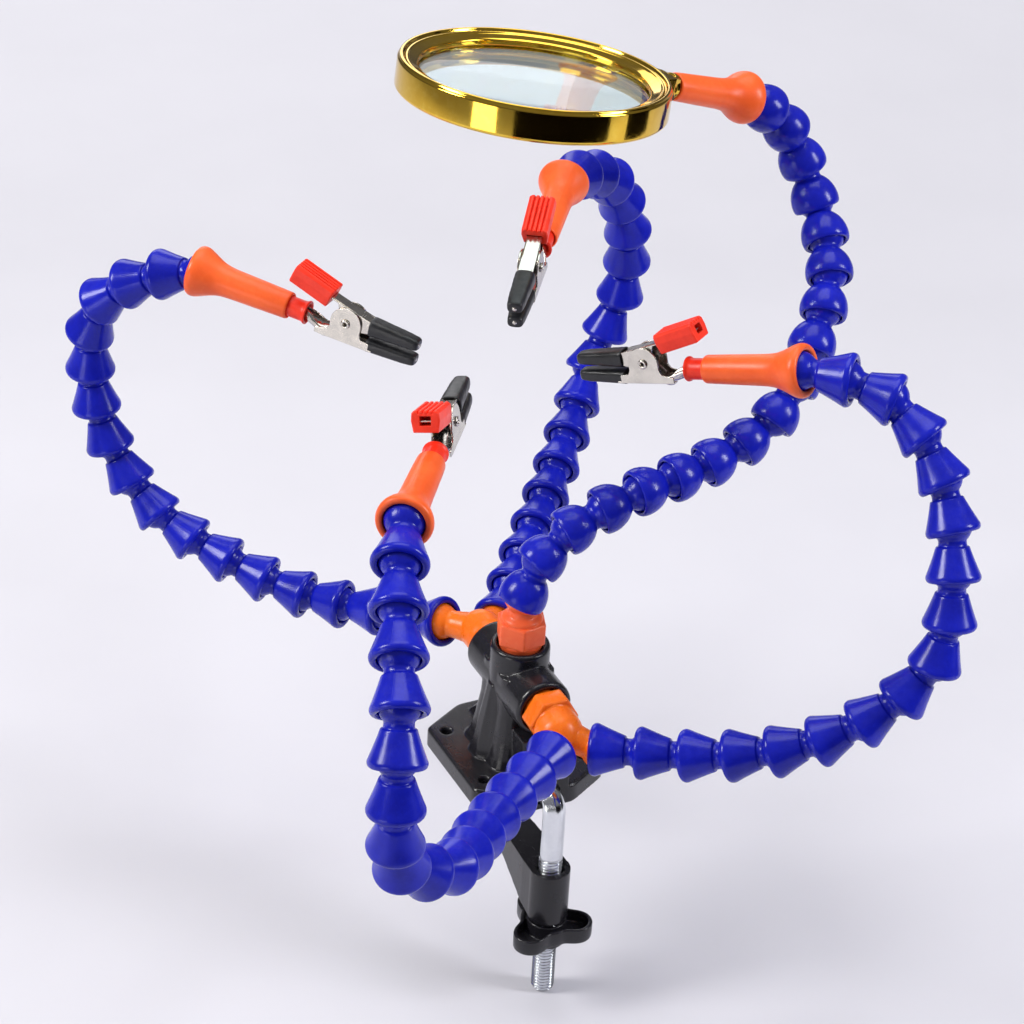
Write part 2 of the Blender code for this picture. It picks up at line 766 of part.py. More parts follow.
def clip_spring():
    """A torsion spring round the rivet: three turns and two short legs towards the tail."""
    steps = 8
    total = 3 * steps
    coil_r, half_width = 1.95, 1.15
    line = [(-5.2, -half_width, -3.6)]
    for k in range(1, total + 1):
        angle = math.radians(200) + 2 * math.pi * k / steps
        y = half_width * (2 * k / total - 1)
        line.append((coil_r * math.cos(angle), y, coil_r * math.sin(angle)))
    line.append((-3.0, half_width, 0.9))
    # the small z in the hint keeps it from lying along the wire
    return mesh_from("clip_spring", sweep(line, [0.3] * len(line), 5, (0, 1, 0.001)))


def clip_grip():
    """A sleeve, ribbed on top, with a slot for the lever's tail, laid on the lever's slope."""
    half_h = GRIP_H / 2
    width = 2 * GRIP_HALF_W / GRIP_RIBS
    top = []
    for k in range(GRIP_RIBS):
        y = -GRIP_HALF_W + k * width
        top += [(y + 0.25 * width, half_h), (y + 0.75 * width, half_h)]
        if k < GRIP_RIBS - 1:
            top.append((y + width, half_h - 0.55))
    outline = [
        (-GRIP_HALF_W, -half_h), (-GRIP_HALF_W, half_h - 0.5), *top,
        (GRIP_HALF_W, half_h - 0.5), (GRIP_HALF_W, -half_h),
    ]
    # the slot has as many points as the outline so that the ends close evenly
    slot_half_w, slot_half_h = 2.7, 0.75
    slot = [
        (y * slot_half_w / GRIP_HALF_W, slot_half_h) if z > 0
        else (math.copysign(slot_half_w, y), -slot_half_h)
        for y, z in outline
    ]
    end = GRIP_LENGTH / 2
    ends = ((outline, -end), (outline, end), (slot, end), (slot, -end))
    points, faces = skin([ring_at(ring, 0, x) for ring, x in ends], closed=True)

    (x0, z0), (x1, z1) = LEVER_LINE[:2]
    slope = math.atan2(z0 - z1, x1 - x0)
    x, y, z = points.T
    sloped = np.column_stack([
        x * math.cos(slope) + z * math.sin(slope),
        y,
        -x * math.sin(slope) + z * math.cos(slope),
    ])
    place = vec((GRIP_X, 0, lever_z(GRIP_X) - 0.3)) - vec(PIVOT)
    return mesh_from("clip_grip", (sloped + place, faces))


def clip_plug():
    """A flanged sleeve that fits the nozzle's bore."""
    profile = [
        (-8.0, 3.2), (-7.4, 3.5), (5.0, 3.5), (6.1, 4.1), (6.7, 4.1), (6.7, 3.0), (-8.0, 3.0)
    ]
    shape = turn_solid(profile, 14, axis=(1, 0, 0), hint=(0, 1, 0), closed=True)
    return mesh_from("clip_plug", shape)


CLIP = {
    "lower": clip_lower(),
    "upper": clip_upper(),
    "rivet": clip_rivet(),
    "spring": clip_spring(),
    "grip": clip_grip(),
}
for clip_mesh in CLIP.values():
    clip_mesh.transform(Matrix.Scale(CLIP_SIZE, 4))
CLIP["plug"] = clip_plug()  # sized by the nozzle's bore, so it isn't scaled


def build_clip(arm_name, layout, nozzle):
    x_axis = layout["nozzle"]
    z_axis = side_of(x_axis, ARMS[arm_name]["lever"])
    rotation = Matrix((x_axis, np.cross(z_axis, x_axis), z_axis)).transposed()
    tip = layout["tip"]
    pivot = tip + (x_axis * PIVOT_X + z_axis * PIVOT_Z) * CLIP_SIZE

    def part(suffix, mesh_name, mat, origin, parent):
        name = f"{arm_name}_clip_{suffix}"
        return add(name, CLIP[mesh_name], mat, origin, parent, rotation)

    plug = part("plug", "plug", RED, tip, nozzle)
    lower = part("lower_jaw", "lower", STEEL, tip, plug)
    part("rivet", "rivet", STEEL, pivot, lower)
    part("spring", "spring", STEEL, pivot, lower)
    upper = part("upper_jaw", "upper", STEEL, pivot, lower)
    part("grip", "grip", RED, pivot, upper)


# ---------------------------------------------------------------- arms

# a socket's seat from its deep end to its mouth, measured from the ball centre
SEAT = [
    (4.9, math.sqrt(SEAT_R**2 - 4.9**2)), (2.4, math.sqrt(SEAT_R**2 - 2.4**2)), (-1.2, SEAT_R)
]
NOZZLE_PROFILE = [
    (-RIM_BACK, RIM_R - 0.5), (-RIM_BACK + 0.7, RIM_R), (0.0, RIM_R - 0.5), (7.2, 5.6),
    (NOZZLE_LEN - 0.5, NOZZLE_TIP_R), (NOZZLE_LEN, NOZZLE_TIP_R - 0.3),
    (NOZZLE_LEN, NOZZLE_BORE_R), (NOZZLE_LEN - 12, NOZZLE_BORE_R),
    (NOZZLE_LEN - 13, BORE_R), (6.4, BORE_R), *SEAT, (-RIM_BACK, NOZZLE_MOUTH_R),
]


def smooth_curve(path, steps=40):
    """A centripetal Catmull-Rom curve through the path, as a dense polyline."""
    path = [vec(point) for point in path]
    path = [2 * path[0] - path[1]] + path + [2 * path[-1] - path[-2]]
    line = []
    for i in range(1, len(path) - 2):
        before, start, end, after = path[i - 1 : i + 3]
        knot_in = np.linalg.norm(start - before) ** 0.5
        knot = np.linalg.norm(end - start) ** 0.5
        knot_out = np.linalg.norm(after - end) ** 0.5
        chord = end - start
        tangent_in = (start - before) / knot_in - (end - before) / (knot_in + knot)
        tangent_out = (after - end) / knot_out - (after - start) / (knot + knot_out)
        start_slope = chord + knot * tangent_in
        end_slope = chord + knot * tangent_out
        for k in range(steps):
            t = k / steps
            line.append(
                start * (2 * t**3 - 3 * t**2 + 1)
                + start_slope * (t**3 - 2 * t**2 + t)
                + end * (-2 * t**3 + 3 * t**2)
                + end_slope * (t**3 - t**2)
            )
    line.append(path[-2])
    return np.array(line)


def ball_centres(path, count, pitch):
    """count + 1 points, each exactly one pitch from the last, along the curve through path."""
    line = smooth_curve(path)
    found = [line[0]]
    i = 0
    while len(found) <= count and i < len(line) - 1:
        start, end = line[i], line[i + 1]
        if np.linalg.norm(end - found[-1]) < pitch:
            i += 1
            continue
        # where the segment leaves the sphere of radius pitch round the last point
        step, offset = end - start, start - found[-1]
        square = step @ step
        linear = 2 * step @ offset
        constant = offset @ offset - pitch * pitch
        root = math.sqrt(linear * linear - 4 * square * constant)
        found.append(start + step * ((root - linear) / (2 * square)))
    # a curve too short for its elements runs on straight
    while len(found) <= count:
        found.append(found[-1] + pitch * unit(line[-1] - line[-2]))
    return np.array(found)


def lay_out(name):
    """Ball centres, element directions, ring frames, and nozzle direction and tip of an arm."""
    arm = ARMS[name]
    domed = name == "magnifier"
    pitch = DOME_PITCH if domed else PITCH
    balls = ball_centres(arm["path"], arm["count"], pitch)
    axes = [unit(end - start) for start, end in zip(balls[:-1], balls[1:])]
    nozzle = unit(vec(arm["path"][-1]) - balls[-1])
    directions = [*axes, nozzle]
    side = side_of(axes[0], (0.3, -1.0, 0.2))
    frames = [(side, np.cross(axes[0], side))]
    for previous, axis in zip(directions[:-1], directions[1:]):
        side = side_of(axis, turned(side, previous, axis))
        frames.append((side, np.cross(axis, side)))
    return dict(
        balls=balls, axes=axes, frames=frames, nozzle=nozzle,
        tip=balls[-1] + nozzle * NOZZLE_LEN, pitch=pitch, rim_r=DOME_RIM_R if domed else RIM_R,
    )


def section_shape(layout, first, last):
    """The hose from element first up to, not including, element last:
    a socket at its start, a ball at its end and a bore right through."""
    balls, axes, frames = layout["balls"], layout["axes"], layout["frames"]
    pitch, rim_r = layout["pitch"], layout["rim_r"]

    def ring(i, along, radius, sides=HOSE_SIDES):
        return circle(balls[i] + axes[i] * along, *frames[i], radius, sides)

    outer = []
    for i in range(first, last):
        axis = axes[i]
        if i > first:
            # the neck of the element before, cut off square to this element's rim
            neck, neck_axis = ring(i - 1, 0.0, NECK_R), axes[i - 1]
            gap = (balls[i] - axis * RIM_BACK - neck) @ axis
            outer.append(neck + np.outer(gap / float(neck_axis @ axis), neck_axis))
        outer.append(ring(i, -RIM_BACK, rim_r))
        outer.append(ring(i, CONE_END * pitch / PITCH, NECK_R))
    neck_deg = math.degrees(math.asin(NECK_R / BALL_R))
    for along, radius in ball_profile(pitch, BALL_R, neck_deg, 180 - neck_deg, 4):
        outer.append(ring(last - 1, along, radius))

    bore_sides = HOSE_SIDES // 2
    bore = [ring(last - 1, pitch + math.sqrt(BALL_R**2 - BORE_R**2), BORE_R, bore_sides)]
    for i in range(last - 1, first, -1):
        axis = unit(axes[i] + axes[i - 1])
        side = side_of(axis, frames[i][0])
        bore.append(circle(balls[i], side, np.cross(axis, side), BORE_R, bore_sides))
    bore.append(ring(first, math.sqrt(SEAT_R**2 - BORE_R**2), BORE_R, bore_sides))
    for along, radius in [*SEAT, (-RIM_BACK, rim_r - RIM_WALL)]:
        bore.append(ring(first, along, radius))
    return skin(outer + bore, closed=True)


def build_arm(name):
    """Four hose sections and a nozzle. Returns the arm's layout and the nozzle."""
    layout = lay_out(name)
    balls = layout["balls"]
    bounds = [*ARMS[name]["starts"], ARMS[name]["count"]]
    parent = None
    for k, (first, last) in enumerate(zip(bounds[:-1], bounds[1:]), 1):
        shape = section_shape(layout, first, last)
        parent = add_shape(f"{name}_hose_{k}", shape, BLUE, balls[first], parent)
    shape = turn_solid(
        NOZZLE_PROFILE, 12, balls[-1], layout["nozzle"], layout["frames"][-1][0], closed=True
    )
    return layout, add_shape(f"{name}_nozzle", shape, NOZZLE_ORANGE, balls[-1], parent)


for clip_arm in ("left", "right", "front", "back"):
    build_clip(clip_arm, *build_arm(clip_arm))

# ---------------------------------------------------------------- magnifier


def lens_profile():
    """From the middle of the underside out to the edge and back over the top."""
    edge_r = LENS_FRAME_R - 3.2
    dome_r = LENS_OPEN_R - 1.0
    dome = [(LENS_RISE * (1 - (k / 3) ** 2), dome_r * k / 3) for k in (1, 3)]
    low, high = LENS_MID_Z - LENS_HALF_EDGE, LENS_MID_Z + LENS_HALF_EDGE
    under = [(low - rise, radius) for rise, radius in dome]
    over = [(high + rise, radius) for rise, radius in reversed(dome)]
    return [*under, (low, edge_r), (high, edge_r), *over]


def build_magnifier(layout, nozzle):
    """The frame leans off its stem at the lug: outward runs from the stem's tip to its centre."""
    stem, tip = layout["nozzle"], layout["tip"]
    outward = unit((-0.989, 0.080, 0.122))
    normal = side_of(outward, (0.128, 0.071, 0.989))
    across = np.cross(normal, outward)
    centre = tip + outward * (LENS_FRAME_R + 5.0)
    half = LENS_HALF_H

    def turned_ring(profile, closed):
        return turn_solid(profile, LENS_SIDES, centre, normal, outward, closed)

    def lug_end(along, half_width, half_height):
        """A rectangle square to along, round the point it reaches from the stem's tip."""
        side = side_of(unit(along), across)
        up = np.cross(unit(along), side)
        return np.array([
            tip + along + side * x * half_width + up * y * half_height
            for x, y in rectangle(-1, 1, -1, 1)
        ])

    frame = turned_ring([
        (-half, LENS_OPEN_R), (-half, LENS_FRAME_R - 1.0), (-half + 1.0, LENS_FRAME_R),
        (half - 1.0, LENS_FRAME_R), (half, LENS_FRAME_R - 1.0), (half, LENS_FRAME_R - 2.2),
        (LENS_LEDGE_Z, LENS_FRAME_R - 2.8), (LENS_LEDGE_Z, LENS_OPEN_R),
    ], closed=True)
    lug = skin([lug_end(stem * 1.2, 3.6, 3.6), lug_end(outward * 6.6, 6.6, 4.6)])
    stem_profile = [(-9.0, 3.1), (-8.4, 3.5), (0.4, 3.5), (0.4, 4.3), (2.2, 4.3)]
    stem_shape = turn_solid(stem_profile, 14, tip, stem, normal)
    frame_mesh = joined("magnifier_frame", frame, [lug, stem_shape], origin=tip)
    magnifier = add("magnifier_frame", frame_mesh, GOLD, tip, nozzle)

    lens = turned_ring(lens_profile(), closed=False)
    add_shape("magnifier_lens", lens, GLASS, tip, magnifier)

    lens_top = LENS_MID_Z + LENS_HALF_EDGE
    keeper = turned_ring([
        (lens_top + GAP, LENS_OPEN_R + 0.4), (lens_top + GAP, LENS_FRAME_R - 3.1),
        (lens_top + 3.0, LENS_FRAME_R - 3.0), (lens_top + 3.0, LENS_OPEN_R + 1.8),
    ], closed=True)
    add_shape("magnifier_retaining_ring", keeper, GOLD, tip, magnifier)


build_magnifier(*build_arm("magnifier"))
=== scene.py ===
"""Looks of a helping hands clamp: a base bracket on a table clamp, four jointed arms that end in
spring clips, and a fifth that holds a magnifier.

Sizes are millimetres, except in the materials and on the stage, which use metres. The origin is
the centre of the bracket's underside, +X along the table's front edge, +Y into the table, +Z up.
"""

from math import asin, atan2, cos, degrees, pi, radians, sin, sqrt

import bpy
import numpy as np
from mathutils import Matrix, Vector


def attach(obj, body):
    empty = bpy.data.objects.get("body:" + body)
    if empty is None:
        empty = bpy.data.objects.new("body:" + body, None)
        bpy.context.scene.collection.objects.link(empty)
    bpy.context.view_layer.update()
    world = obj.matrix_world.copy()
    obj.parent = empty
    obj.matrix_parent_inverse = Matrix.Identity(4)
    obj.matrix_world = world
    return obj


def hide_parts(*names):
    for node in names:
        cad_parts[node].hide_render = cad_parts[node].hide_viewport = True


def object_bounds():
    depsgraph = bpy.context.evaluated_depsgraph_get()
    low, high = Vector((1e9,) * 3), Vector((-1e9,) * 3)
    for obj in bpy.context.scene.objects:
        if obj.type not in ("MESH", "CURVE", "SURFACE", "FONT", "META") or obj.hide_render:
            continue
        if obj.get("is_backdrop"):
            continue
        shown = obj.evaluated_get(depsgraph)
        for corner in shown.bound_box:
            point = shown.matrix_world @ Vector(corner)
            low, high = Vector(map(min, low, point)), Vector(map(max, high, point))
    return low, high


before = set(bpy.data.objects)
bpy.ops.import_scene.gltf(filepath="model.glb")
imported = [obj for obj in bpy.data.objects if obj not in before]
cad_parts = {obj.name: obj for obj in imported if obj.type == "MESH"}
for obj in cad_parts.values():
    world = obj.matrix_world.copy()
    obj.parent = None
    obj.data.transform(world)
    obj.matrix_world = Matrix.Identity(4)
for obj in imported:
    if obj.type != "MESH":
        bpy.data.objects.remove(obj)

cad_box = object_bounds()
scene = bpy.context.scene
MM = 0.001

# ---------------------------------------------------------------- sizes shared with the CAD

CONE_PITCH, DOME_PITCH = 15.0, 13.6
BALL_R, SEAT_R, BORE_R, NECK_R = 6.5, 7.05, 3.0, 4.45
NOZZLE_LEN = 33.0
PLATE_HALF_X, PLATE_HALF_Y, PLATE_T = 24.0, 28.6, 7.0
PLATE_SIDE_Y, PLATE_FLAT_X = 19.5, 8.25  # where the plate's sloping edges start and end
TOWER_TOP = 48.2
PORT_R, PORT_BORE_R = 10.0, 6.6
PORT_REACH = 20.0  # the front and back ports end this far from the tower's axis
FRONT_PORT_Z, BACK_PORT_Z = 33.8, 34.5
ROD_R, ROD_X, ROD_Y, ROD_LEG_Z, ROD_END_Z, BEND_R = 4.0, -1.0, -33.0, 5.2, -73.0, 4.3
THREAD_TOP, THREAD_PITCH = -16.5, 1.25
JAW_TOP_Z, JAW_BOSS_R, JAW_BOSS_H, JAW_REACH = -21.5, 6.9, 20.6, 40.0
KNOB_TOP_Z, KNOB_H, KNOB_LOBE_AT, KNOB_LOBE_R = -43.2, 6.0, 9.8, 5.8
PIVOT_X, PIVOT_Z, JAW_TIP_X = 19.0, 2.5, 42.0
LOWER_HALF, UPPER_HALF = 3.1, 2.25  # half widths of the clip's two sheets
CLIP_SIZE = 1.12
FRAME_R, FRAME_H, OPEN_R = 44.0, 11.0, 37.0

# path: points the arm follows. count: its hose elements. starts: the first element of each
# section. lever: the way the clip's lever faces.
ARMS = {
    "left": dict(
        path=[
            (-10, 42, 33), (-22.5, 68, 24.5), (-41, 91, 22), (-61, 112.5, 28.5),
            (-79.5, 132.5, 41), (-91, 149, 63), (-95.5, 154, 92), (-93, 146.5, 120.5),
            (-68.5, 117, 141), (-46.5, 93, 136.5),
        ],
        count=17, starts=(0, 4, 8, 12), lever=(0.1, 0.0, 1.0),
    ),
    "right": dict(
        path=[
            (10.5, -40.5, 28.5), (34, -58.5, 32), (55.5, -77.5, 41), (77, -91.5, 56),
            (96.5, -97.5, 78), (102, -92.5, 107), (103.5, -77.5, 133), (94, -57.5, 152.5),
            (73.5, -36, 155), (56, -10, 145.5),
        ],
        count=16, starts=(0, 4, 9, 12), lever=(0.0, 0.0, 1.0),
    ),
    "front": dict(
        path=[
            (-8.5, -41, 31), (-32, -60, 33.5), (-53, -80.5, 39), (-72, -101.5, 48.5),
            (-93.5, -113.5, 64), (-99.5, -121, 92), (-96, -113.5, 120.5), (-87, -91, 138),
            (-74.5, -66.5, 150), (-55, -40.5, 150),
        ],
        count=16, starts=(0, 4, 9, 13), lever=(-0.2, 0.0, 1.0),
    ),
    "back": dict(
        path=[
            (12, 40, 32), (31.5, 62, 39.5), (50.5, 83.5, 47.5), (69, 105, 57.5),
            (86.5, 124, 72), (99, 127.5, 98.5), (96.5, 121.5, 127.5), (83, 112.5, 152.5),
            (52, 87.5, 168), (32, 61.5, 164),
        ],
        count=17, starts=(0, 4, 9, 13), lever=(-0.2, -0.2, 1.0),
    ),
    "magnifier": dict(
        path=[
            (0, 0, 66.5), (6, 0, 79), (16.5, 0.5, 88), (42, 0, 97.5), (69, 2.5, 101.5),
            (93.5, 5, 113), (110, 13, 133.5), (123, 28, 151), (127.5, 49.5, 168),
            (119, 58, 191), (98, 53.5, 207), (67.5, 47, 218),
        ],
        count=18, starts=(0, 4, 9, 13),
    ),
}

# ---------------------------------------------------------------- finishes


class Tree:
    """The shader tree of a material or world. The methods that add a node return its output."""

    def __init__(self, owner):
        owner.use_nodes = True
        self.nodes = owner.node_tree.nodes
        self.links = owner.node_tree.links

    def set(self, node, inputs):
        """Link or set each input of the node."""
        for key, value in inputs.items():
            if isinstance(value, bpy.types.NodeSocket):
                self.links.new(value, node.inputs[key])
            else:
                node.inputs[key].default_value = value

    def add(self, kind, inputs=None, output=0, **settings):
        node = self.nodes.new("ShaderNode" + kind)
        for key, value in settings.items():
            setattr(node, key, value)
        self.set(node, inputs or {})
        return node.outputs[output]

    def remap(self, value, low, high, to=(0.0, 1.0)):
        ends = {"From Min": low, "From Max": high, "To Min": to[0], "To Max": to[1]}
        return self.add("MapRange", {"Value": value, **ends})

    def math(self, operation, first, second=0.0):
        return self.add("Math", {0: first, 1: second, 2: 0.0}, operation=operation)

    def blend(self, factor, *colours):
        """The first colour where factor is 0, the second where it is 1."""
        below, above = (
            colour if isinstance(colour, bpy.types.NodeSocket) else (*colour, 1.0)
            for colour in colours
        )
        return self.add("Mix", {0: factor, 6: below, 7: above}, output=2, data_type="RGBA")

    def noise(self, at, scale, detail=3.0, rough=0.55):
        inputs = {"Vector": at, "Scale": scale, "Detail": detail, "Roughness": rough}
        return self.add("TexNoise", inputs, output="Fac")


def finish(
    name, *, base, deep, pale, rough, metal=0.0, specular=0.5, subsurface=None, patch=90.0,
    speck=2200.0, grain=2e-5, wave=0.0, edge_wear_and_highlight=0.0, worn_and_highlight_colour=None, scratch=0.0, seam=False,
    vary=0.04, dust=0.0,
):
    """A procedural finish.

    base, deep, pale: linear colours of the body, its darker patches and its pale mottling.
    rough: least and greatest roughness. subsurface: weight, radius and scale.
    patch, speck: noise scales of the patches and the speckle. grain: bump distance.
    wave: height of a slow ripple. wear, worn: amount and colour of the lighter edges, part abrasion
    and part a painted highlight.
    scratch, dust: amounts. seam: a fine ridge along local X = 0.
    vary: how far the brightness differs from object to object.
    """
    made = bpy.data.materials.new(name)
    tree = Tree(made)
    where = tree.add("TexCoord", output="Object")
    # each object samples the noise at a place of its own
    chance = tree.add("ObjectInfo", output="Random")
    shift = tree.add("CombineXYZ", {
        "X": tree.math("MULTIPLY", chance, 0.31),
        "Y": tree.math("MULTIPLY", chance, 0.17),
        "Z": chance,
    })
    at = tree.add("VectorMath", {0: where, 1: shift}, operation="ADD")
    cloud = tree.noise(at, patch, detail=4.0, rough=0.6)
    mottle = tree.noise(at, patch * 7, detail=3.0, rough=0.6)
    fine = tree.noise(at, speck, detail=2.0, rough=0.5)
    colour = tree.blend(tree.remap(cloud, 0.34, 0.6), deep, base)
    colour = tree.blend(tree.remap(mottle, 0.52, 0.78, to=(0.0, 0.45)), colour, pale)
    value = tree.remap(chance, 0.0, 1.0, to=(1 - vary, 1 + vary))
    colour = tree.add("HueSaturation", {"Value": value, "Color": colour})
    smudge = tree.noise(at, patch * 2.3, detail=4.0, rough=0.62)
    roughness = tree.remap(smudge, 0.3, 0.7, to=rough)
    height = tree.math("MULTIPLY", fine, 0.6)
    if scratch:
        # noise drawn out into long thin lines
        drawn = {"Vector": at, "Rotation": (0.5, 0.3, 0.9), "Scale": (1.0, 0.04, 1.0)}
        long = tree.add("Mapping", drawn)
        lines = tree.remap(tree.noise(long, 3800.0, detail=2.0, rough=0.5), 0.6, 0.72)
        roughness = tree.math("ADD", roughness, tree.math("MULTIPLY", lines, scratch))
        height = tree.math("SUBTRACT", height, tree.math("MULTIPLY", lines, 0.8))
    if dust:
        # patches on faces that look up
        normal = tree.add("NewGeometry", output="Normal")
        upward = tree.remap(tree.add("SeparateXYZ", {0: normal}, output="Z"), 0.5, 0.95)
        specks = tree.remap(tree.noise(at, 380.0, detail=5.0, rough=0.7), 0.46, 0.7)
        lying = tree.math("MULTIPLY", tree.math("MULTIPLY", upward, specks), dust)
        colour = tree.blend(lying, colour, (0.55, 0.53, 0.5))
        roughness = tree.math("ADD", roughness, tree.math("MULTIPLY", lying, 0.5))
    if edge_wear_and_highlight:
        # lighter edges: part abrasion, part a painted highlight for the light the edges catch
        # an edge is where the bevelled normal leaves the true one
        soft = tree.add("Bevel", {"Radius": 0.0005}, samples=4)
        hard = tree.add("NewGeometry", output="Normal")
        same = tree.add(
            "VectorMath", {0: soft, 1: hard}, output="Value", operation="DOT_PRODUCT"
        )
        edges = tree.remap(same, 0.99, 0.88)
        broken = tree.remap(tree.noise(at, 520.0, detail=4.0, rough=0.65), 0.42, 0.6)
        rubbed_and_highlit = tree.math("MULTIPLY", tree.math("MULTIPLY", edges, broken), edge_wear_and_highlight)
        # blend the edges towards the lighter colour: painted edge highlight together with abrasion
        colour = tree.blend(rubbed_and_highlit, colour, worn_and_highlight_colour)
        roughness = tree.math("ADD", roughness, tree.math("MULTIPLY", rubbed_and_highlit, 0.12))
    if seam:
        off = tree.math("ABSOLUTE", tree.add("SeparateXYZ", {0: where}, output="X"))
        ridge = tree.remap(off, 0.00005, 0.00016, to=(1.0, 0.0))
        height = tree.math("ADD", height, tree.math("MULTIPLY", ridge, 1.4))
    if wave:
        ripple = tree.noise(at, 70.0, detail=1.0, rough=0.4)
        height = tree.math("ADD", height, tree.math("MULTIPLY", ripple, wave))
    shader = tree.nodes["Principled BSDF"]
    bump = {"Strength": 1.0, "Distance": grain, "Height": height}
    tree.set(shader, {
        "Base Color": colour,
        "Roughness": roughness,
        "Metallic": metal,
        "Specular IOR Level": specular,
        "Normal": tree.add("Bump", bump),
    })
    if subsurface:
        names = ("Subsurface Weight", "Subsurface Radius", "Subsurface Scale")
        tree.set(shader, dict(zip(names, subsurface)))
    made.diffuse_color = (*base, 1.0)
    return made


# each finish's lighter edge colour below is part abrasion, part a painted edge highlight
BLUE = finish(
    "moulded blue acetal",
    base=(0.0075, 0.0135, 0.45), deep=(0.0055, 0.0095, 0.35), pale=(0.0095, 0.0185, 0.52),
    rough=(0.17, 0.27), specular=0.3, patch=110, grain=9e-6,
    edge_wear_and_highlight=0.22, worn_and_highlight_colour=(0.03, 0.045, 0.62), seam=True, vary=0.06, dust=0.02,
)
ORANGE = finish(
    "moulded orange connector",
    base=(0.98, 0.19, 0.01), deep=(0.88, 0.145, 0.007), pale=(1.0, 0.25, 0.022),
    rough=(0.22, 0.34), specular=0.32, subsurface=(0.08, (1.0, 0.35, 0.1), 0.001),
    patch=90, grain=1.4e-5, edge_wear_and_highlight=0.3, worn_and_highlight_colour=(1.0, 0.34, 0.08), dust=0.02,
)
CORAL = finish(
    "moulded coral connector",
    base=(1.0, 0.15, 0.042), deep=(0.93, 0.118, 0.032), pale=(1.0, 0.2, 0.07),
    rough=(0.26, 0.38), specular=0.32, subsurface=(0.08, (1.0, 0.35, 0.15), 0.001),
    patch=90, grain=1.4e-5, edge_wear_and_highlight=0.3, worn_and_highlight_colour=(1.0, 0.28, 0.13),
)
NOZZLE = finish(
    "moulded orange nozzle",
    base=(0.99, 0.142, 0.026), deep=(0.9, 0.112, 0.018), pale=(1.0, 0.18, 0.04),
    rough=(0.28, 0.42), specular=0.32, subsurface=(0.1, (1.0, 0.4, 0.15), 0.0012),
    patch=80, grain=1.8e-5, edge_wear_and_highlight=0.25, worn_and_highlight_colour=(1.0, 0.27, 0.1), seam=True, dust=0.02,
)
BLACK = finish(
    "moulded black nylon",
    base=(0.0125, 0.0118, 0.0155), deep=(0.0085, 0.008, 0.0105), pale=(0.0155, 0.0148, 0.019),
    rough=(0.2, 0.29), specular=0.45, patch=60, speck=1500, grain=1.4e-5,
    edge_wear_and_highlight=0.2, worn_and_highlight_colour=(0.045, 0.043, 0.05), dust=0.014, scratch=0.03,
)
RED = finish(
    "soft red vinyl",
    base=(0.95, 0.042, 0.016), deep=(0.83, 0.029, 0.01), pale=(1.0, 0.06, 0.02),
    rough=(0.3, 0.42), specular=0.3, subsurface=(0.08, (1.0, 0.2, 0.1), 0.0008),
    patch=120, grain=2.2e-5, edge_wear_and_highlight=0.25, worn_and_highlight_colour=(1.0, 0.12, 0.06), dust=0.02,
)
SLEEVE = finish(
    "black shrink tube",
    base=(0.0145, 0.015, 0.018), deep=(0.0095, 0.01, 0.012), pale=(0.022, 0.0225, 0.027),
    rough=(0.28, 0.42), specular=0.45, patch=160, speck=900, grain=5e-5,
    edge_wear_and_highlight=0.25, worn_and_highlight_colour=(0.055, 0.055, 0.062), dust=0.03, wave=0.6,
)
ZINC = finish(
    "zinc plated steel",
    base=(0.76, 0.78, 0.81), deep=(0.68, 0.7, 0.735), pale=(0.84, 0.855, 0.87),
    rough=(0.12, 0.2), metal=1.0, patch=160, speck=2600, grain=1e-5,
    edge_wear_and_highlight=0.2, worn_and_highlight_colour=(0.9, 0.9, 0.9), scratch=0.06,
)
NICKEL = finish(
    "nickel plated sheet steel",
    base=(0.66, 0.62, 0.56), deep=(0.54, 0.51, 0.465), pale=(0.78, 0.74, 0.68),
    rough=(0.13, 0.24), metal=1.0, patch=200, speck=2600, grain=1.2e-5,
    edge_wear_and_highlight=0.35, worn_and_highlight_colour=(0.85, 0.8, 0.72), scratch=0.12,
)
SPRING = finish(
    "spring steel wire",
    base=(0.34, 0.32, 0.31), deep=(0.2, 0.19, 0.19), pale=(0.5, 0.48, 0.45),
    rough=(0.2, 0.36), metal=1.0, patch=300, grain=1e-5, scratch=0.1,
)
GOLD = finish(
    "polished gold plate",
    base=(0.86, 0.56, 0.07), deep=(0.76, 0.46, 0.048), pale=(0.93, 0.66, 0.12),
    rough=(0.045, 0.11), metal=1.0, patch=50, speck=3000, grain=3.5e-6,
    edge_wear_and_highlight=0.25, worn_and_highlight_colour=(1.0, 0.85, 0.45), scratch=0.03, wave=7.0,
)


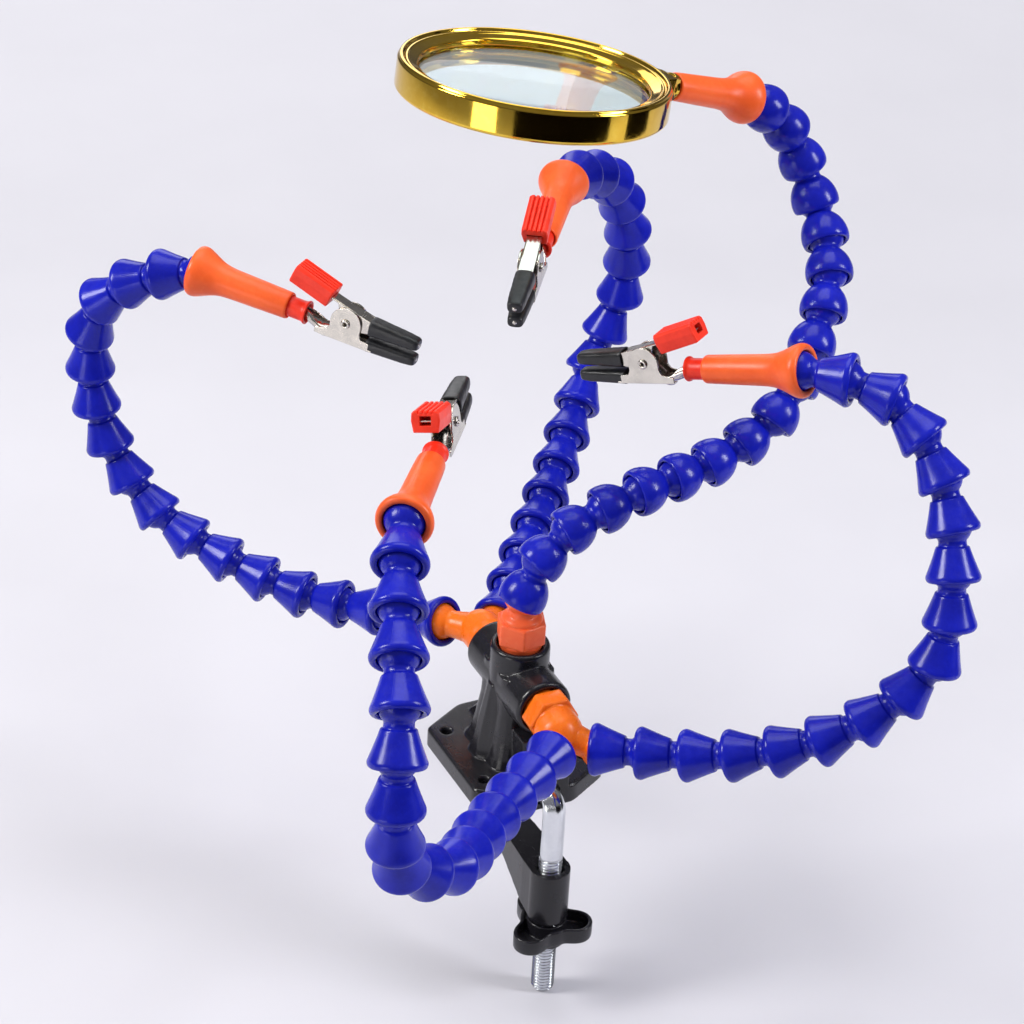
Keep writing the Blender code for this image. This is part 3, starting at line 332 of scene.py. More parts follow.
def glass():
    """Clear lens glass with a green-blue tint, faint smears and a light shadow."""
    made = bpy.data.materials.new("clear lens glass")
    tree = Tree(made)
    shader = tree.nodes["Principled BSDF"]
    where = tree.add("TexCoord", output="Object")
    cloud = tree.remap(tree.noise(where, 45.0, detail=4.0, rough=0.6), 0.3, 0.7)
    smear = tree.noise(where, 150.0, detail=5.0, rough=0.7)
    fine = tree.noise(where, 1800.0, detail=2.0)
    tree.set(shader, {
        "Base Color": tree.blend(cloud, (0.84, 0.96, 0.945), (0.9, 0.98, 0.97)),
        "Roughness": tree.remap(smear, 0.58, 0.8, to=(0.0, 0.05)),
        "IOR": 1.5,
        "Transmission Weight": 1.0,
        "Normal": tree.add("Bump", {"Strength": 0.4, "Distance": 4e-6, "Height": fine}),
    })
    # mostly see-through, and wholly so to shadow rays
    clear = tree.add("BsdfTransparent", {"Color": (0.84, 0.91, 0.915, 1.0)})
    share = tree.math("MAXIMUM", tree.add("LightPath", output="Is Shadow Ray"), 0.62)
    mix = tree.add("MixShader", {0: share, 1: shader.outputs[0], 2: clear})
    tree.set(tree.nodes["Material Output"], {"Surface": mix})
    made.diffuse_color = (0.85, 0.95, 0.94, 0.4)
    return made


GLASS = glass()

# ---------------------------------------------------------------- vectors


def vec(point):
    return np.array(point, float)


def unit(point):
    point = vec(point)
    return point / np.linalg.norm(point)


def side_of(axis, hint):
    """The unit vector square to the axis that lies nearest the hint."""
    hint = vec(hint)
    return unit(hint - axis * float(hint @ axis))


def turned(vector, before, after):
    """The vector, turned as the unit vector before turns into after."""
    cross = np.cross(before, after)
    sine, cosine = float(np.linalg.norm(cross)), float(before @ after)
    if sine < 1e-9:
        return vector
    axis = cross / sine
    along = axis * float(axis @ vector)
    return vector * cosine + np.cross(axis, vector) * sine + along * (1 - cosine)


def placed(origin, x, y, z):
    """The matrix of a frame with these axes and an origin in metres."""
    matrix = Matrix.Identity(4)
    for column, values in enumerate((x, y, z, origin)):
        for row in range(3):
            matrix[row][column] = float(values[row])
    return matrix


# ---------------------------------------------------------------- solids
# a solid is a pair: its points and its faces


def circle(centre, side, other, radius, count):
    angles = np.arange(count) * (2 * pi / count)
    return centre + np.outer(np.cos(angles) * radius, side) + np.outer(np.sin(angles) * radius, other)


def skin(rings, closed=False):
    """Rings of one size joined up. An open stack is capped, a closed one returns to its start."""
    size, count = len(rings[0]), len(rings)
    points = np.concatenate([np.asarray(ring, float) for ring in rings])
    faces = []
    for k in range(count if closed else count - 1):
        first, second = k * size, (k + 1) % count * size
        for i in range(size):
            j = (i + 1) % size
            faces.append((first + i, first + j, second + j, second + i))
    if not closed:
        faces.append(tuple(range(size))[::-1])
        faces.append(tuple(range((count - 1) * size, count * size)))
    return points, faces


def facing_out(points, faces):
    """The faces, all flipped if the solid is inside out."""
    volume = 0.0
    for face in faces:
        for k in range(1, len(face) - 1):
            cross = np.cross(points[face[k]], points[face[k + 1]])
            volume += float(np.dot(points[face[0]], cross))
    return [face[::-1] for face in faces] if volume < 0 else faces


def mesh_from(name, solid):
    points, faces = solid
    mesh = bpy.data.meshes.new(name)
    mesh.from_pydata((points * MM).tolist(), [], facing_out(points, faces))
    mesh.validate()
    mesh.update()
    return mesh


def merged(*solids):
    """Several solids as one, left overlapping."""
    faces, first = [], 0
    for solid in solids:
        faces += [tuple(i + first for i in face) for face in facing_out(*solid)]
        first += len(solid[0])
    return np.concatenate([points for points, _ in solids]), faces


def lathe(profile, sides=64, origin=(0, 0, 0), axis=(0, 0, 1), hint=(1, 0, 0), closed=False):
    """A solid of revolution from (along the axis, radius) pairs."""
    axis = unit(axis)
    side = side_of(axis, hint)
    other = np.cross(axis, side)
    origin = vec(origin)
    rings = [circle(origin + axis * along, side, other, radius, sides) for along, radius in profile]
    return skin(rings, closed)


def rounded(points, cuts, steps=4):
    """A closed outline with each corner replaced by a curve between points a cut from it."""
    points = [vec(point) for point in points]
    if not isinstance(cuts, list):
        cuts = [cuts] * len(points)
    outline = []
    for i, (corner, cut) in enumerate(zip(points, cuts)):
        before, after = points[i - 1] - corner, points[(i + 1) % len(points)] - corner
        len_before, len_after = np.linalg.norm(before), np.linalg.norm(after)
        cut = min(cut, 0.48 * len_before, 0.48 * len_after)
        start, end = corner + before / len_before * cut, corner + after / len_after * cut
        for k in range(steps + 1):
            share = k / steps
            rest = 1 - share
            outline.append(rest**2 * start + 2 * share * rest * corner + share * share * end)
    return outline


def arc(at, radius, first, last, steps):
    """(along, radius) pairs round a ball centred at, in degrees from its rear pole."""
    angles = [radians(angle) for angle in np.linspace(first, last, steps)]
    return [(at - radius * cos(angle), radius * sin(angle)) for angle in angles]


def prism(outline, bottom, top, bevel=0.0):
    outline = np.array(outline, float)
    centre = outline.mean(axis=0)

    def ring(z, inset):
        away = outline - centre
        flat = centre + away * (1 - inset / np.linalg.norm(away, axis=1)[:, None])
        return np.column_stack([flat, np.full(len(flat), z)])

    rings = [ring(bottom, 0)]
    if bevel:
        rings.append(ring(top - bevel, 0))
    rings.append(ring(top, bevel))
    return skin(rings)


def box(x0, x1, y0, y1, z0, z1):
    return prism([(x0, y0), (x1, y0), (x1, y1), (x0, y1)], z0, z1)


def sheet_xz(outline, *ends):
    """An (x, z) outline drawn out between two values of y."""
    return skin([np.array([(x, y, z) for x, z in outline]) for y in ends])


# ---------------------------------------------------------------- objects


def add_object(name, data):
    obj = bpy.data.objects.new(name, data)
    scene.collection.objects.link(obj)
    return obj


def evaluated(obj, name):
    bpy.context.view_layer.update()
    graph = bpy.context.evaluated_depsgraph_get()
    mesh = bpy.data.meshes.new_from_object(obj.evaluated_get(graph))
    mesh.name = name
    return mesh


def joined(name, base, adds=(), cuts=()):
    """A mesh: base with every solid in adds joined on and every solid in cuts taken out."""
    body = add_object(name + "_blank", mesh_from(name + "_blank", base))
    helpers = []
    for kind, solids in (("UNION", adds), ("DIFFERENCE", cuts)):
        for k, solid in enumerate(solids):
            label = f"{name}_{kind}_{k}"
            helpers.append(add_object(label, mesh_from(label, solid)))
            step = body.modifiers.new(label, "BOOLEAN")
            step.operation, step.object, step.solver = kind, helpers[-1], "EXACT"
    mesh = evaluated(body, name)
    for thing in [body, *helpers]:
        bpy.data.objects.remove(thing, do_unlink=True)
    return mesh


def softened(mesh, voxel, passes):
    """The mesh as one skin: overlapping solids flow together, and every edge is eased."""
    body = add_object(mesh.name + "_soft", mesh)
    step = body.modifiers.new("remesh", "REMESH")
    step.mode, step.voxel_size, step.adaptivity = "VOXEL", voxel * MM, 0.0
    ease = body.modifiers.new("ease", "SMOOTH")
    ease.factor, ease.iterations = 0.5, passes
    out = evaluated(body, mesh.name)
    bpy.data.objects.remove(body, do_unlink=True)
    return out


def piece(name, mesh, material, body, replaces=None, matrix=None, sharp=None):
    """An object that rides on a CAD body. A shared mesh gets its material on first use."""
    obj = add_object(name, mesh)
    if matrix is not None:
        obj.matrix_world = matrix
    if material not in mesh.materials.values():
        mesh.materials.clear()
        mesh.materials.append(material)
        mesh.shade_smooth()
        if sharp:
            mesh.set_sharp_from_angle(angle=radians(sharp))
    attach(obj, body)
    if replaces:
        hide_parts(replaces)


# ---------------------------------------------------------------- arm layout, as in the CAD


def smooth_curve(points, steps=40):
    """A curve through the points, with tangents weighted by the square roots of the gaps."""
    knots = [vec(point) for point in points]
    knots = [2 * knots[0] - knots[1], *knots, 2 * knots[-1] - knots[-2]]
    line = []
    for before, start, end, after in zip(knots, knots[1:], knots[2:], knots[3:]):
        gap0 = np.linalg.norm(start - before) ** 0.5
        gap1 = np.linalg.norm(end - start) ** 0.5
        gap2 = np.linalg.norm(after - end) ** 0.5
        step = end - start
        leave = step + gap1 * ((start - before) / gap0 - (end - before) / (gap0 + gap1))
        arrive = step + gap1 * ((after - end) / gap2 - (after - start) / (gap1 + gap2))
        for k in range(steps):
            share = k / steps
            square, cube = share**2, share**3
            line.append(
                start * (2 * cube - 3 * square + 1) + leave * (cube - 2 * square + share)
                + end * (-2 * cube + 3 * square) + arrive * (cube - square)
            )
    line.append(knots[-2])
    return np.array(line)


def ball_centres(path, count, pitch):
    """Points along the path, each a pitch in a straight line from the last."""
    line = smooth_curve(path)
    found = [line[0]]
    i = 0
    while len(found) <= count and i < len(line) - 1:
        start, end = line[i], line[i + 1]
        if np.linalg.norm(end - found[-1]) < pitch:
            i += 1
            continue
        # where the segment crosses the sphere of one pitch round the last point
        step, back = end - start, start - found[-1]
        square, linear, constant = step @ step, 2 * step @ back, back @ back - pitch * pitch
        root = sqrt(max(linear * linear - 4 * square * constant, 0.0))
        found.append(start + step * ((-linear + root) / (2 * square)))
    while len(found) <= count:
        found.append(found[-1] + pitch * unit(line[-1] - line[-2]))
    return np.array(found)


def lay_out(name):
    """The matrices of an arm's elements and nozzle, the nozzle's direction and its tip."""
    arm = ARMS[name]
    pitch = DOME_PITCH if name == "magnifier" else CONE_PITCH
    balls = ball_centres(arm["path"], arm["count"], pitch)
    nozzle_way = unit(vec(arm["path"][-1]) - balls[-1])
    axes = [unit(after - ball) for ball, after in zip(balls, balls[1:])] + [nozzle_way]
    side = side_of(axes[0], (0.3, -1.0, 0.2))
    matrices = []
    for ball, last, axis in zip(balls, [axes[0], *axes], axes):
        side = side_of(axis, turned(side, last, axis))
        matrices.append(placed(ball * MM, side, np.cross(axis, side), axis))
    return matrices, nozzle_way, balls[-1] + nozzle_way * NOZZLE_LEN


LAYOUT = {name: lay_out(name) for name in ARMS}

# ---------------------------------------------------------------- hose elements and nozzles
# each has its socket round the origin and runs along +Z. Profiles are (along, radius)


def socket(*lip):
    """The inside of a socket: out from the bore, over the seat for the ball, to the lip."""
    angles = [radians(angle) for angle in np.linspace(27, 96, 12)]
    seat = [(SEAT_R * cos(angle), SEAT_R * sin(angle)) for angle in angles]
    return [(8.0, BORE_R), (6.6, BORE_R + 0.06), *seat, (-1.5, 6.72), *lip]


def hose_mesh(name, pitch, outer):
    """One ball-and-socket element: socket at the start, ball at pitch, a bore right through."""
    end_r = BORE_R + 0.35
    first = degrees(asin(NECK_R / BALL_R))
    last = 180 - degrees(asin(end_r / BALL_R))
    nose = pitch + sqrt(BALL_R**2 - end_r**2)
    bore = [(nose + 0.22, BORE_R + 0.12), (nose + 0.12, BORE_R), (pitch, BORE_R)]
    ball = arc(pitch, BALL_R, first + 2, last, 18)
    profile = [*outer, *ball, *bore, *socket((-2.05, 6.5), (-2.4, 6.46))]
    return mesh_from(name, lathe(profile, 48, closed=True))


CONE = hose_mesh("hose_element_cone", CONE_PITCH, [
    (-2.72, 6.62), (-2.92, 6.95), (-3.0, 7.4), (-2.96, 7.95), (-2.76, 8.26), (-2.42, 8.53),
    (-1.98, 8.7), (-1.5, 8.75), (-1.02, 8.69), (-0.6, 8.54), (0.1, 8.25), (1.4, 7.73),
    (2.8, 7.19), (4.2, 6.67), (5.6, 6.16), (6.9, 5.71), (7.7, 5.45), (8.02, 5.32),
    (8.22, 5.14), (8.3, 4.9), (8.38, 4.68), (8.6, 4.54), (9.1, NECK_R + 0.02), (9.9, NECK_R),
])
DOME = hose_mesh("hose_element_dome", DOME_PITCH, [
    (-2.72, 6.6), (-2.92, 6.85), (-3.0, 7.15), (-2.94, 7.46), (-2.7, 7.73), (-2.25, 7.94),
    (-1.6, 8.09), (-0.8, 8.17), (0.1, 8.17), (1.0, 8.08), (1.9, 7.93), (2.8, 7.7),
    (3.7, 7.38), (4.5, 7.02), (5.2, 6.63), (5.8, 6.23), (6.4, 5.76), (6.9, 5.3),
    (7.2, 4.98), (7.4, 4.72), (7.65, 4.55), (8.0, NECK_R + 0.02), (8.4, NECK_R),
])


def nozzle_mesh(name, bell):
    end = NOZZLE_LEN
    tip = [
        (16.0, 5.0), (24.0, 4.82), (end - 0.9, 4.62), (end - 0.4, 4.56), (end - 0.1, 4.4),
        (end, 4.18), (end - 0.05, 3.98), (end - 0.3, 3.86),
    ]
    inside = [(end - 4, 3.84), (end - 12, 3.82), (end - 13, BORE_R)]
    profile = [*bell, *tip, *inside, *socket((-2.05, 6.52), (-2.4, 6.5))]
    return mesh_from(name, lathe(profile, closed=True))


NOZZLE_CONE = nozzle_mesh("nozzle_cone", [
    (-2.72, 6.66), (-2.92, 7.0), (-3.0, 7.45), (-2.92, 8.02), (-2.65, 8.36), (-2.2, 8.6),
    (-1.6, 8.73), (-0.9, 8.72), (-0.2, 8.58), (0.6, 8.3), (1.6, 7.87), (2.8, 7.33),
    (4.0, 6.79), (5.2, 6.3), (6.4, 5.88), (7.6, 5.56), (9.0, 5.33), (10.6, 5.18), (12.5, 5.09),
])
NOZZLE_BELL = nozzle_mesh("nozzle_bell", [
    (-2.72, 6.66), (-2.92, 6.98), (-3.0, 7.4), (-2.92, 7.9), (-2.6, 8.25), (-2.05, 8.53),
    (-1.3, 8.7), (-0.4, 8.75), (0.5, 8.66), (1.5, 8.4), (2.5, 8.0), (3.6, 7.46),
    (4.7, 6.87), (5.8, 6.32), (6.9, 5.88), (8.1, 5.55), (9.5, 5.31), (11.0, 5.17), (13.0, 5.08),
])


def build_arm(name):
    matrices = LAYOUT[name][0]
    starts = ARMS[name]["starts"]
    element, nozzle = (DOME, NOZZLE_BELL) if name == "magnifier" else (CONE, NOZZLE_CONE)
    for i, matrix in enumerate(matrices[:-1]):
        section = sum(first <= i for first in starts)
        piece(
            f"{name}_hose_element_{i + 1:02d}", element, BLUE, f"{name}_section_{section}",
            f"{name}_hose_{section}" if i in starts else None, matrix,
        )
    piece(
        f"{name}_nozzle_body", nozzle, NOZZLE, f"{name}_nozzle_end", f"{name}_nozzle",
        matrices[-1],
    )


for arm_name in ARMS:
    build_arm(arm_name)

# ---------------------------------------------------------------- base bracket

# origin, axis, reach, start of the outside, start of the bore, mouth radius and depth
PORTS = (
    ((0, 0, 0), (0, 0, 1), TOWER_TOP, 24.0, TOWER_TOP - 11, 8.2, 1.6),
    ((0, 0, FRONT_PORT_Z), (0, -1, 0), PORT_REACH, 2.0, 9.0, 8.2, 1.6),
    ((0, 0, BACK_PORT_Z), (0, 1, 0), PORT_REACH, 2.0, 9.0, 8.3, 2.2),
)
PORT_HINT = (1, 0.01, 0.02)


def plate():
    half_x, half_y, side_y, flat_x = PLATE_HALF_X, PLATE_HALF_Y, PLATE_SIDE_Y, PLATE_FLAT_X
    corners = [
        (half_x, -side_y), (half_x, side_y), (flat_x, half_y), (-flat_x, half_y),
        (-half_x, side_y), (-half_x, -side_y), (-flat_x, -half_y), (flat_x, -half_y),
    ]
    return prism(rounded(corners, 2.0, 3), 0.0, PLATE_T, 0.8)


def rounded_rectangle(half_x, half_y, corner, z):
    points = []
    for sign_x, sign_y, first in ((1, 1, 0), (-1, 1, 90), (-1, -1, 180), (1, -1, 270)):
        for angle in np.linspace(first, first + 90, 6):
            x = sign_x * (half_x - corner) + corner * cos(radians(angle))
            y = sign_y * (half_y - corner) + corner * sin(radians(angle))
            points.append((x, y, z))
    return np.array(points)


def tower():
    sections = (  # half width in x, half width in y, corner radius, z
        (14.0, 14.5, 5.0, PLATE_T - 1), (12.6, 13.2, 4.8, 10.0), (11.3, 12.0, 4.4, 16.0),
        (9.9, 10.8, 4.0, 26.0), (9.5, 10.1, 4.0, TOWER_TOP - 8),
    )
    return skin([rounded_rectangle(*section) for section in sections])


def fin(angle, reach, height, half, foot):
    """A web from the tower to the plate, drawn out to a wider foot."""
    cosine, sine = cos(radians(angle)), sin(radians(angle))
    outline = (  # distance from the axis, z, half thickness
        (4.0, 5.0, foot), (reach, 5.0, foot), (reach, PLATE_T + 0.9, foot * 0.9),
        (reach * 0.66, 16.5, half * 1.15), (9.6, height, half), (4.0, height, half),
    )
    return skin([
        np.array([
            (out * cosine - side * thick * sine, out * sine + side * thick * cosine, z)
            for out, z, thick in outline
        ])
        for side in (-1, 1)
    ])


def gusset(side):
    """A flat-sided web that stands between two screw holes and spreads into the tower."""
    sections = (  # z, end x, end half y, half y where it meets the tower
        (PLATE_T - 1.5, 16.5, 2.6, 12.4), (PLATE_T + 1.2, 15.6, 2.3, 11.6), (34.0, 10.6, 1.4, 4.6),
    )
    rings = []
    for z, end, tip, root in sections:
        ring = [(end, -tip), (end, tip), (9.0, root), (0, root), (0, -root), (9.0, -root)]
        rings.append(np.array([(side * x, y, z) for x, y in ring]))
    return skin(rings)


def port_outside(at, axis, reach, start):
    lip = [(reach - 1.3, PORT_R), (reach - 0.4, PORT_R - 0.35), (reach, PORT_R - 1.1)]
    return lathe([(start, PORT_R), *lip], 64, at, axis, PORT_HINT)


def port_bore(at, axis, reach, start, mouth, depth):
    """A bore with a wider mouth for the connector's collar or hexagon."""
    profile = [
        (start, PORT_BORE_R), (reach - depth - 1.0, PORT_BORE_R),
        (reach - depth, mouth - 0.25), (reach + 2, mouth),
    ]
    return lathe(profile, 64, at, axis, PORT_HINT)


def bracket():
    adds = [
        tower(),
        *[port_outside(at, axis, reach, start) for at, axis, reach, start, *_ in PORTS],
        # block round the rod, and a step between it and the tower
        box(ROD_X - 7.4, ROD_X + 7.4, -PLATE_HALF_Y + 0.05, -6.0, 0.6, 11.2),
        box(-7.0, 5.0, -19.6, -8.0, 8.0, 22.0),
        gusset(-1),
        gusset(1),
        fin(90, reach=23.5, height=26.0, half=4.2, foot=6.2),
        fin(270, reach=16.0, height=22.0, half=2.2, foot=4.0),
    ]
    rod_hole = [(10.0, ROD_R + 0.3), (PLATE_HALF_Y + 8, ROD_R + 0.3)]
    screw_hole = [(-2, 1.7), (PLATE_T - 0.8, 1.7), (PLATE_T + 0.2, 2.3), (PLATE_T + 2, 3.4)]
    screws = ((18.4, 15.0), (-18.4, 15.0), (-18.4, -15.0), (18.4, -15.0))
    pockets = (  # x and y ranges of the hollows in the underside
        (-15.5, -2.5, 8.5, 24.0), (2.5, 15.5, 8.5, 24.0), (-15.5, -6.6, -22.0, -8.5),
    )
    cuts = [
        *[port_bore(at, axis, reach, *rest) for at, axis, reach, _, *rest in PORTS],
        lathe(rod_hole, 48, (ROD_X, 0, ROD_LEG_Z), (0, -1, 0)),
        *[lathe(screw_hole, 40, (x, y, 0)) for x, y in screws],
        *[box(*pocket, -1.0, 2.6) for pocket in pockets],
    ]
    return softened(joined("bracket", plate(), adds, cuts), 0.33, 3)


piece("base_bracket_moulding", bracket(), BLACK, "base", "base_bracket")

# ---------------------------------------------------------------- clamp

ROD_TOP = (ROD_X, ROD_Y, 0)
JAW_BOTTOM_Z = JAW_TOP_Z - JAW_BOSS_H
KNOB_BOTTOM_Z = KNOB_TOP_Z - KNOB_H


def rod():
    """A leg into the bracket, a right-angle bend, and a threaded length that hangs down."""
    sides = 48
    angles = np.arange(sides) * 2 * pi / sides
    across = vec((1, 0, 0))
    leg_ends = (-12.0, -20.0, ROD_Y + BEND_R + 0.6)
    line = [((ROD_X, y, ROD_LEG_Z), (0, -1, 0)) for y in leg_ends]
    for k in range(17):
        turn = radians(90 * k / 16)
        y = ROD_Y + BEND_R - BEND_R * sin(turn)
        z = ROD_LEG_Z - BEND_R + BEND_R * cos(turn)
        line.append(((ROD_X, y, z), (0, -cos(turn), -sin(turn))))
    plain = np.linspace(ROD_LEG_Z - BEND_R - 0.8, THREAD_TOP + 0.6, 9)
    line += [((ROD_X, ROD_Y, z), (0, 0, -1)) for z in plain]
    rings = []
    for point, way in line:
        radius = np.full(sides, ROD_R - 0.06)
        # two flats run down the plain part and fade out below z = -9
        z = point[2]
        press = 0.62 if z > -9 else max(0.0, 0.62 * (1 - (-9 - z) / 7.5))
        for middle in (128, 218):
            cosine = np.cos(angles - radians(middle))
            flat = np.where(cosine > 0.3, (ROD_R - press) / np.maximum(cosine, 0.3), 99.0)
            radius = np.minimum(radius, flat)
        rings.append(circle(vec(point), across, np.cross(vec(way), across), radius, sides))
    other = np.cross(vec((0, 0, -1)), across)
    z = THREAD_TOP
    while z > ROD_END_Z + 0.02:
        runout = min(1.0, (THREAD_TOP - z) / 1.6)
        turn = np.mod(z / THREAD_PITCH + angles / (2 * pi), 1.0)
        groove = np.clip(np.abs(2 * turn - 1) * 1.5 - 0.25, 0, 1)
        chamfer = ROD_R - max(0.0, 1.3 - (z - ROD_END_Z)) * 0.95
        radius = np.minimum(ROD_R - 0.04 - 0.86 * groove * runout, chamfer)
        rings.append(circle(vec((ROD_X, ROD_Y, z)), across, other, radius, sides))
        z -= THREAD_PITCH / 12
    rings.append(circle(vec((ROD_X, ROD_Y, ROD_END_Z)), across, other, 2.6, sides))
    return mesh_from("clamp_rod_threaded", skin(rings))


piece("clamp_rod_threaded", rod(), ZINC, "base", "clamp_rod", sharp=50)


def jaw():
    """A boss on the rod with an arm that tapers into the table."""
    bottom = JAW_BOTTOM_Z
    stations = (  # y from the rod, half width, z of the underside
        (-0.5, JAW_BOSS_R - 0.1, bottom + 0.9), (7.0, 6.75, bottom + 2.4),
        (16.0, 6.2, bottom + 6.3), (JAW_REACH - 5, 5.2, JAW_TOP_Z - 5.8),
        (JAW_REACH - 1.2, 4.6, JAW_TOP_Z - 4.4), (JAW_REACH, 3.8, JAW_TOP_Z - 3.8),
    )
    rings = []
    for y, half, low in stations:
        outline = [(-half, low), (half, low), (half, JAW_TOP_Z), (-half, JAW_TOP_Z)]
        rings.append(np.array([(ROD_X + x, ROD_Y + y, z) for x, z in outline]))
    boss = [
        (bottom, JAW_BOSS_R - 0.5), (bottom + 0.7, JAW_BOSS_R), (JAW_TOP_Z - 0.02, JAW_BOSS_R),
    ]
    hole = [
        (bottom - 3, ROD_R + 0.45), (JAW_TOP_Z - 0.9, ROD_R + 0.45),
        (JAW_TOP_Z + 0.6, ROD_R + 1.7),
    ]
    boss, hole = lathe(boss, origin=ROD_TOP), lathe(hole, 56, ROD_TOP)
    return softened(joined("jaw", boss, [skin(rings)], [hole]), 0.28, 3)


piece("clamp_jaw_moulding", jaw(), BLACK, "jaw", "clamp_jaw")


def lobed_outline(angles):
    """The radius of the knob's three-lobed outline, with smooth waists."""
    reach = np.full(len(angles), 8.9)
    for lobe in range(3):
        away = angles - radians(90 + 120 * lobe)
        along, across = np.cos(away) * KNOB_LOBE_AT, np.sin(away) * KNOB_LOBE_AT
        inside = (along > 0) & (np.abs(across) < KNOB_LOBE_R)
        rim = along + np.sqrt(np.maximum(KNOB_LOBE_R**2 - across * across, 0))
        reach = np.where(inside, np.maximum(reach, rim), reach)
    for _ in range(14):
        reach = 0.5 * reach + 0.25 * (np.roll(reach, 1) + np.roll(reach, -1))
    return reach * (15.55 / reach.max())


def knob():
    angles = np.arange(144) * 2 * pi / 144
    lobes = lobed_outline(angles)
    bottom, top = KNOB_BOTTOM_Z, KNOB_TOP_Z
    rim = [  # z, growth of the lobed outline
        (bottom, -1.1), (bottom + 0.12, -0.55), (bottom + 0.35, -0.22), (bottom + 0.8, -0.04),
        (bottom + 2.5, 0.0), (top - 0.45, 0.0), (top - 0.12, -0.12), (top, -0.42),
        (top, -1.1), (top - 0.12, -1.4), (top - 0.45, -1.52), (bottom + 2.7, -1.75),
        (bottom + 2.1, -1.95), (bottom + 1.8, -2.5),
    ]
    hub = [  # z, radius
        (bottom + 1.8, 7.2), (bottom + 2.1, 6.95), (top + 0.2, 6.75), (top + 0.5, 6.65),
        (top + 0.6, 6.4), (top + 0.6, 5.95), (top + 0.35, 5.75), (bottom - 2.35, 5.75),
        (bottom - 2.6, 5.95), (bottom - 2.6, 6.3), (bottom - 2.4, 6.6), (bottom - 0.3, 6.75),
        (bottom, 7.05),
    ]
    rings = []
    for z, radius in [(z, lobes + grow) for z, grow in rim] + hub:
        x, y = ROD_X + radius * np.cos(angles), ROD_Y + radius * np.sin(angles)
        rings.append(np.column_stack([x, y, np.full(len(angles), z)]))
    return mesh_from("knob", skin(rings, closed=True))


def insert():
    """The threaded tube inside the knob's hub."""
    bottom, top = KNOB_BOTTOM_Z, KNOB_TOP_Z
    profile = [
        (bottom - 2.2, 5.0), (bottom - 1.9, 5.35), (bottom - 1.4, 5.4), (top - 1.5, 5.4),
        (top - 1.0, 5.35), (top - 0.8, 5.1), (top - 0.8, ROD_R + 0.75),
        (top - 1.3, ROD_R + 0.3), (bottom - 1.7, ROD_R + 0.3), (bottom - 2.2, ROD_R + 0.75),
    ]
    return mesh_from("insert", lathe(profile, origin=ROD_TOP, closed=True))


piece("clamp_knob_moulding", knob(), BLACK, "knob", "clamp_knob", sharp=55)
piece("knob_threaded_insert", insert(), ZINC, "knob", "knob_insert", sharp=35)

# ---------------------------------------------------------------- connectors

SPIGOT_R = PORT_BORE_R - 0.4
LIMB_WAIST_R = 4.75


def limb(start, ball):
    """A neck that narrows to a waist and ends in a ball."""
    start, ball = vec(start), vec(ball)
    length = float(np.linalg.norm(ball - start))
    neck = degrees(asin(4.6 / BALL_R))
    rear = length - BALL_R * cos(radians(neck))
    profile = [
        (0.0, 5.6), (rear * 0.45, 5.3), (rear * 0.72, LIMB_WAIST_R + 0.1),
        (rear * 0.9, LIMB_WAIST_R - 0.1), *arc(length, BALL_R, neck + 2, 152, 14),
    ]
    return lathe(profile, 48, start, ball - start, (0.1, 0.2, 1.0))


def hexagon(name, start, end, radius, at, axis, turn=0.0):
    """A moulded hexagon with eased corners and chamfered ends."""
    corners = [(cos(turn + k * pi / 3), sin(turn + k * pi / 3), 0.0) for k in range(6)]
    outline = np.array(rounded(corners, 0.075, 5))
    axis = unit(axis)
    side = side_of(axis, (1, 0, 0))
    other = np.cross(axis, side)
    chamfer = ((0.0, 0.95), (0.12, 0.55), (0.55, 0.08), (0.8, 0.0))  # from the end, inset
    stations = [(start + along, radius - inset) for along, inset in chamfer]
    stations += [(end - along, radius - inset) for along, inset in reversed(chamfer)]
    rings = [
        vec(at) + axis * along
        + np.outer(outline[:, 0] * size, side) + np.outer(outline[:, 1] * size, other)
        for along, size in stations
    ]
    return mesh_from(name, skin(rings))


def top_connector():
    top = TOWER_TOP
    spigot = [
        (top - 9, SPIGOT_R - 0.4), (top - 8.6, SPIGOT_R), (top - 2.4, SPIGOT_R),
        (top - 1.0, 7.1), (top + 0.6, 7.4), (top + 1.5, 7.4),
    ]
    shoulder = [
        (top + 6.5, 6.9), (top + 9.8, 6.9), (top + 10.5, 6.5), (top + 11.1, 5.7),
        (top + 11.8, 4.75),
    ]
    neck = limb((0, 0, top + 8.3), ARMS["magnifier"]["path"][0])
    solid = merged(lathe(spigot), lathe(shoulder), neck)
    return softened(mesh_from("top_connector", solid), 0.24, 3)


